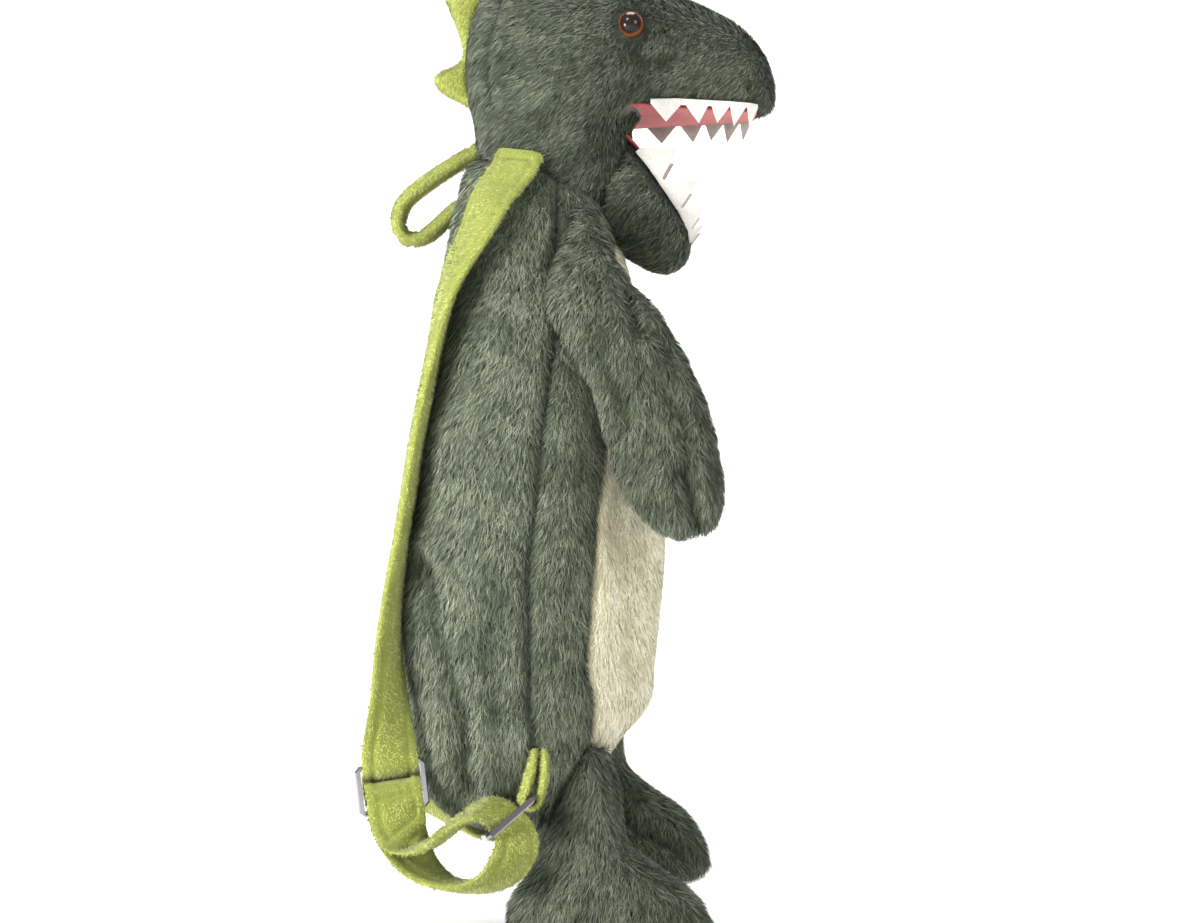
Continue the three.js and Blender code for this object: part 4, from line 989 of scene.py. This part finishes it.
@dataclass
class Face:
    """Eyes, felt teeth and mouth lining."""

    rings: int = 14
    spokes: int = 56
    dome: float = 2.2

    def eye(self, side: str) -> None:
        """One domed glossy eye, with its rim kept as an attribute.

        Args:
            side: right or left.
        """
        low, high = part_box(f"eye_{side}")
        sign = -1.0 if side == "right" else 1.0
        radius = (high[0] - low[0]) / 2.0
        x, z = (high[0] + low[0]) / 2.0, (high[2] + low[2]) / 2.0
        root = high[1] if side == "right" else low[1]
        rise = high[1] - low[1]
        points: list[tuple[float, float, float]] = [(x, root + sign * rise, z)]
        rim = [0.0]
        for ring in range(1, self.rings + 1):
            share = ring / self.rings
            for spoke in range(self.spokes):
                angle = 2 * math.pi * spoke / self.spokes
                points.append((x + radius * share * math.cos(angle),
                               root + sign * rise * math.sqrt(1.0 - share ** self.dome),
                               z + radius * share * math.sin(angle)))
                rim.append(share)
        points.append((x, root, z))
        rim.append(1.0)
        n = self.spokes
        faces: list[tuple[int, ...]] = [(0, 1 + j, 1 + (j + 1) % n) for j in range(n)]
        for ring in range(self.rings - 1):
            base = 1 + ring * n
            faces += [(base + j, base + n + j, base + n + (j + 1) % n, base + (j + 1) % n) for j in range(n)]
        base = 1 + (self.rings - 1) * n
        faces += [(base + j, len(points) - 1, base + (j + 1) % n) for j in range(n)]
        made = mesh_object(f"eye_{side}_dome", points, faces)
        if made.data.polygons[0].normal.y * sign < 0:
            made.data.flip_normals()
        note(made.data, "rim", np.array(rim))
        smooth(made)
        made.data.materials.append(Shop.eye())
        place(made, f"eye_{side}")

    def felt(self, node: str, material: Material) -> None:
        """A felt piece with softened cut edges.

        Args:
            node: The CAD node that it stands for.
            material: Its felt.
        """
        made = copy_of(node, node + "_felt", quads=True)
        modify(made, "BEVEL", width=0.35 * MM, segments=2, limit_method="ANGLE")
        modify(made, "SUBSURF", subdivision_type="SIMPLE", levels=1, render_levels=1)
        baked(made)
        smooth(made)
        made.data.materials.clear()
        made.data.materials.append(material)
        place(made, node)

    def build(self) -> None:
        """Make the eyes, teeth and lining."""
        white = Shop.cloth("white_felt", linear(176, 172, 165), linear(210, 207, 200), 0.7, 0.6)
        red = Shop.cloth("red_felt", linear(150, 52, 50), linear(206, 92, 86), 0.7, 0.7)
        for side in ("right", "left"):
            self.eye(side)
            self.felt(f"upper_teeth_{side}", white)
            self.felt(f"lower_teeth_{side}", white)
        self.felt("mouth_lining", red)


@dataclass
class Hardware:
    """Chrome adjusters and rings and the dark zip, which keep their CAD shapes."""

    metal_nodes: tuple[str, ...] = ("strap_slider_right", "strap_slider_left", "side_ring_right", "side_ring_left",
                                    "zip_slider", "zip_pull")

    def dress(self, node: str, material: Material) -> None:
        """Give a carried-over CAD node its material.

        Args:
            node: The CAD node.
            material: Its material.
        """
        made = bpy.data.objects[node]
        if not made.material_slots:
            made.data.materials.append(material)
        for holder in made.material_slots:
            holder.material = material
        LOG.info("%s dressed", node)

    def build(self) -> None:
        """Dress the metal and the zip."""
        for node in self.metal_nodes:
            self.dress(node, Shop.metal())
        self.dress("zip_chain", Shop.zip_strip())


@dataclass
class Studio:
    """Camera, soft light, white floor and backdrop."""

    eye: tuple[float, float, float] = (0.0875, -1.0, 0.00425)
    lens: float = 60.0
    half_width: float = 3.0

    def camera(self) -> None:
        """The camera at the photograph's angle, level and square on."""
        lens = bpy.data.cameras.new("camera")
        lens.lens, lens.sensor_width, lens.clip_start = self.lens, 36.0, 0.01
        made = in_scene("camera", lens)
        made.location = self.eye
        made.rotation_euler = (math.pi / 2, 0.0, 0.0)
        bpy.context.scene.camera = made

    def lamp(self, name: str, place_at: Vector, aim: Vector, size: float, power: float) -> None:
        """A square soft lamp.

        Args:
            name: The lamp's name.
            place_at: Where it stands.
            aim: What it faces.
            size: Its side.
            power: Its power in watts.
        """
        light = bpy.data.lights.new(name, "AREA")
        light.shape, light.size, light.energy = "SQUARE", size, power
        made = in_scene(name, light)
        made.location = place_at
        made.rotation_euler = (aim - place_at).to_track_quat("-Z", "Y").to_euler()

    def sheet(self, name: str, start: tuple[float, float], end: tuple[float, float], shine: float) -> None:
        """A white studio surface, as wide as the studio.

        Args:
            name: Its name.
            start: Its near or lower edge, as (y, z).
            end: Its far or upper edge.
            shine: How strongly it glows.
        """
        half = self.half_width
        made = mesh_object(name, [(-half, *start), (half, *start), (half, *end), (-half, *end)], [(0, 1, 2, 3)])
        material, _, shader = Shop.start(name)
        feed(shader, {"Base Color": (0.9, 0.9, 0.9, 1.0), "Roughness": 0.9, "Emission Color": (1.0, 1.0, 1.0, 1.0),
                      "Emission Strength": shine})
        made.data.materials.append(material)
        made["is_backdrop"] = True

    def build(self, floor: float) -> None:
        """Set up the studio.

        Args:
            floor: Height of the floor.
        """
        self.camera()
        target = Vector((0.08, 0.0, 0.02))
        self.lamp("key", Vector((-0.55, -1.0, 1.1)), target, 0.55, 17.0)
        self.lamp("fill", Vector((1.05, -0.9, 0.45)), target, 0.6, 10.0)
        self.lamp("low", Vector((-1.0, -0.75, -0.1)), Vector((0.02, -0.05, -0.08)), 0.5, 29.0)
        self.lamp("top", Vector((0.1, 0.3, 1.3)), target, 0.7, 14.0)
        near, far = 1.2, 2.6
        self.sheet("floor", (-self.half_width, floor), (near, floor), 0.0)
        self.sheet("floor_far", (near, floor), (far, floor), 0.9)
        self.sheet("backdrop", (far, floor), (far, far), 1.0)
        world = bpy.data.worlds.new("studio")
        world.use_nodes = True
        feed(world.node_tree.nodes["Background"], {"Color": (1.0, 1.0, 1.0, 1.0), "Strength": 0.42})
        bpy.context.scene.world = world
        bpy.context.scene.view_settings.view_transform = "Standard"


ARM_FOLDS = (
    Fold(((98.9, 85.0), (102.1, 75.4), (105.8, 64.4)), 3.8, 3.6),
    Fold(((112.7, 64.4), (115.9, 59.8), (119.5, 55.3)), 3.2, 3.2),
    Fold(((88.0, 52.0), (95.0, 40.0), (99.0, 24.0)), 1.8, 4.0),
    Fold(((117.0, 38.0), (125.0, 26.0), (127.0, 12.0)), 1.6, 3.6),
    Fold(((125.5, 0.4), (128.7, -13.4), (133.2, -29.4)), 4.2, 3.8))
LEG_FOLDS = (
    Fold(((91.1, -136.7), (94.7, -147.1), (97.0, -165.7), (100.6, -178.8), (111.9, -184.7), (123.2, -191.5),
          (133.2, -201.0)), 3.4, 3.4),)
HEAD_FOLDS = (
    Fold(((39.8, 240.0), (39.8, 222.1), (34.6, 207.4), (32.7, 194.7), (34.6, 177.7)), 3.0, 2.8),
    Fold(((29.6, 152.2), (62.3, 142.2), (83.7, 121.8)), 2.2, 3.0),
    Fold(((104.0, 200.0), (112.0, 196.0), (122.0, 198.0)), 1.8, 3.6))


def stuffed_parts() -> list[Stuffed]:
    """Every stuffed form, in building order."""
    eyes, sides = ("eye_right", "eye_left"), ("side_panel_right", "side_panel_left")
    parts = [
        Stuffed("head", SHADED_HEAD_PLUSH, 21, voxel=3.6, cap=1.6, folds=HEAD_FOLDS,
                hidden_by=("back_panel", *sides, "mouth_lining", "crest", *eyes), clear_of=eyes),
        Stuffed("lower_jaw", SHADED_HEAD_PLUSH, 22, voxel=2.6, cap=1.0, hidden_by=("mouth_lining", "belly_panel")),
        Stuffed("crest", CREST_PLUSH, 23, voxel=2.6, cap=1.2, hidden_by=("head",))]
    for n, side in enumerate(("right", "left")):
        panels = ("back_panel", "belly_panel", f"side_panel_{side}")
        parts.append(Stuffed(f"arm_{side}", SHADED_LIMB_PLUSH, 31 + n, folds=ARM_FOLDS, hidden_by=panels))
        parts.append(Stuffed(f"leg_{side}", SHADED_LIMB_PLUSH, 41 + n, folds=LEG_FOLDS,
                             hidden_by=(*panels, f"sole_{side}")))
    return parts


def main() -> None:
    """Load the frame, note the CAD box and build every sub-assembly in order."""
    logging.basicConfig(level=logging.INFO, format="%(name)s: %(message)s")
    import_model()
    cad_box = [[float(n) for n in corner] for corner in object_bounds()]
    LOG.info("CAD box %s", cad_box)
    Studio().build(cad_box[0][2] - 0.002)
    Bag().build()
    for part in stuffed_parts():
        part.build()
    Harness().build()
    Face().build()
    Hardware().build()


if __name__ == "__main__":
    main()
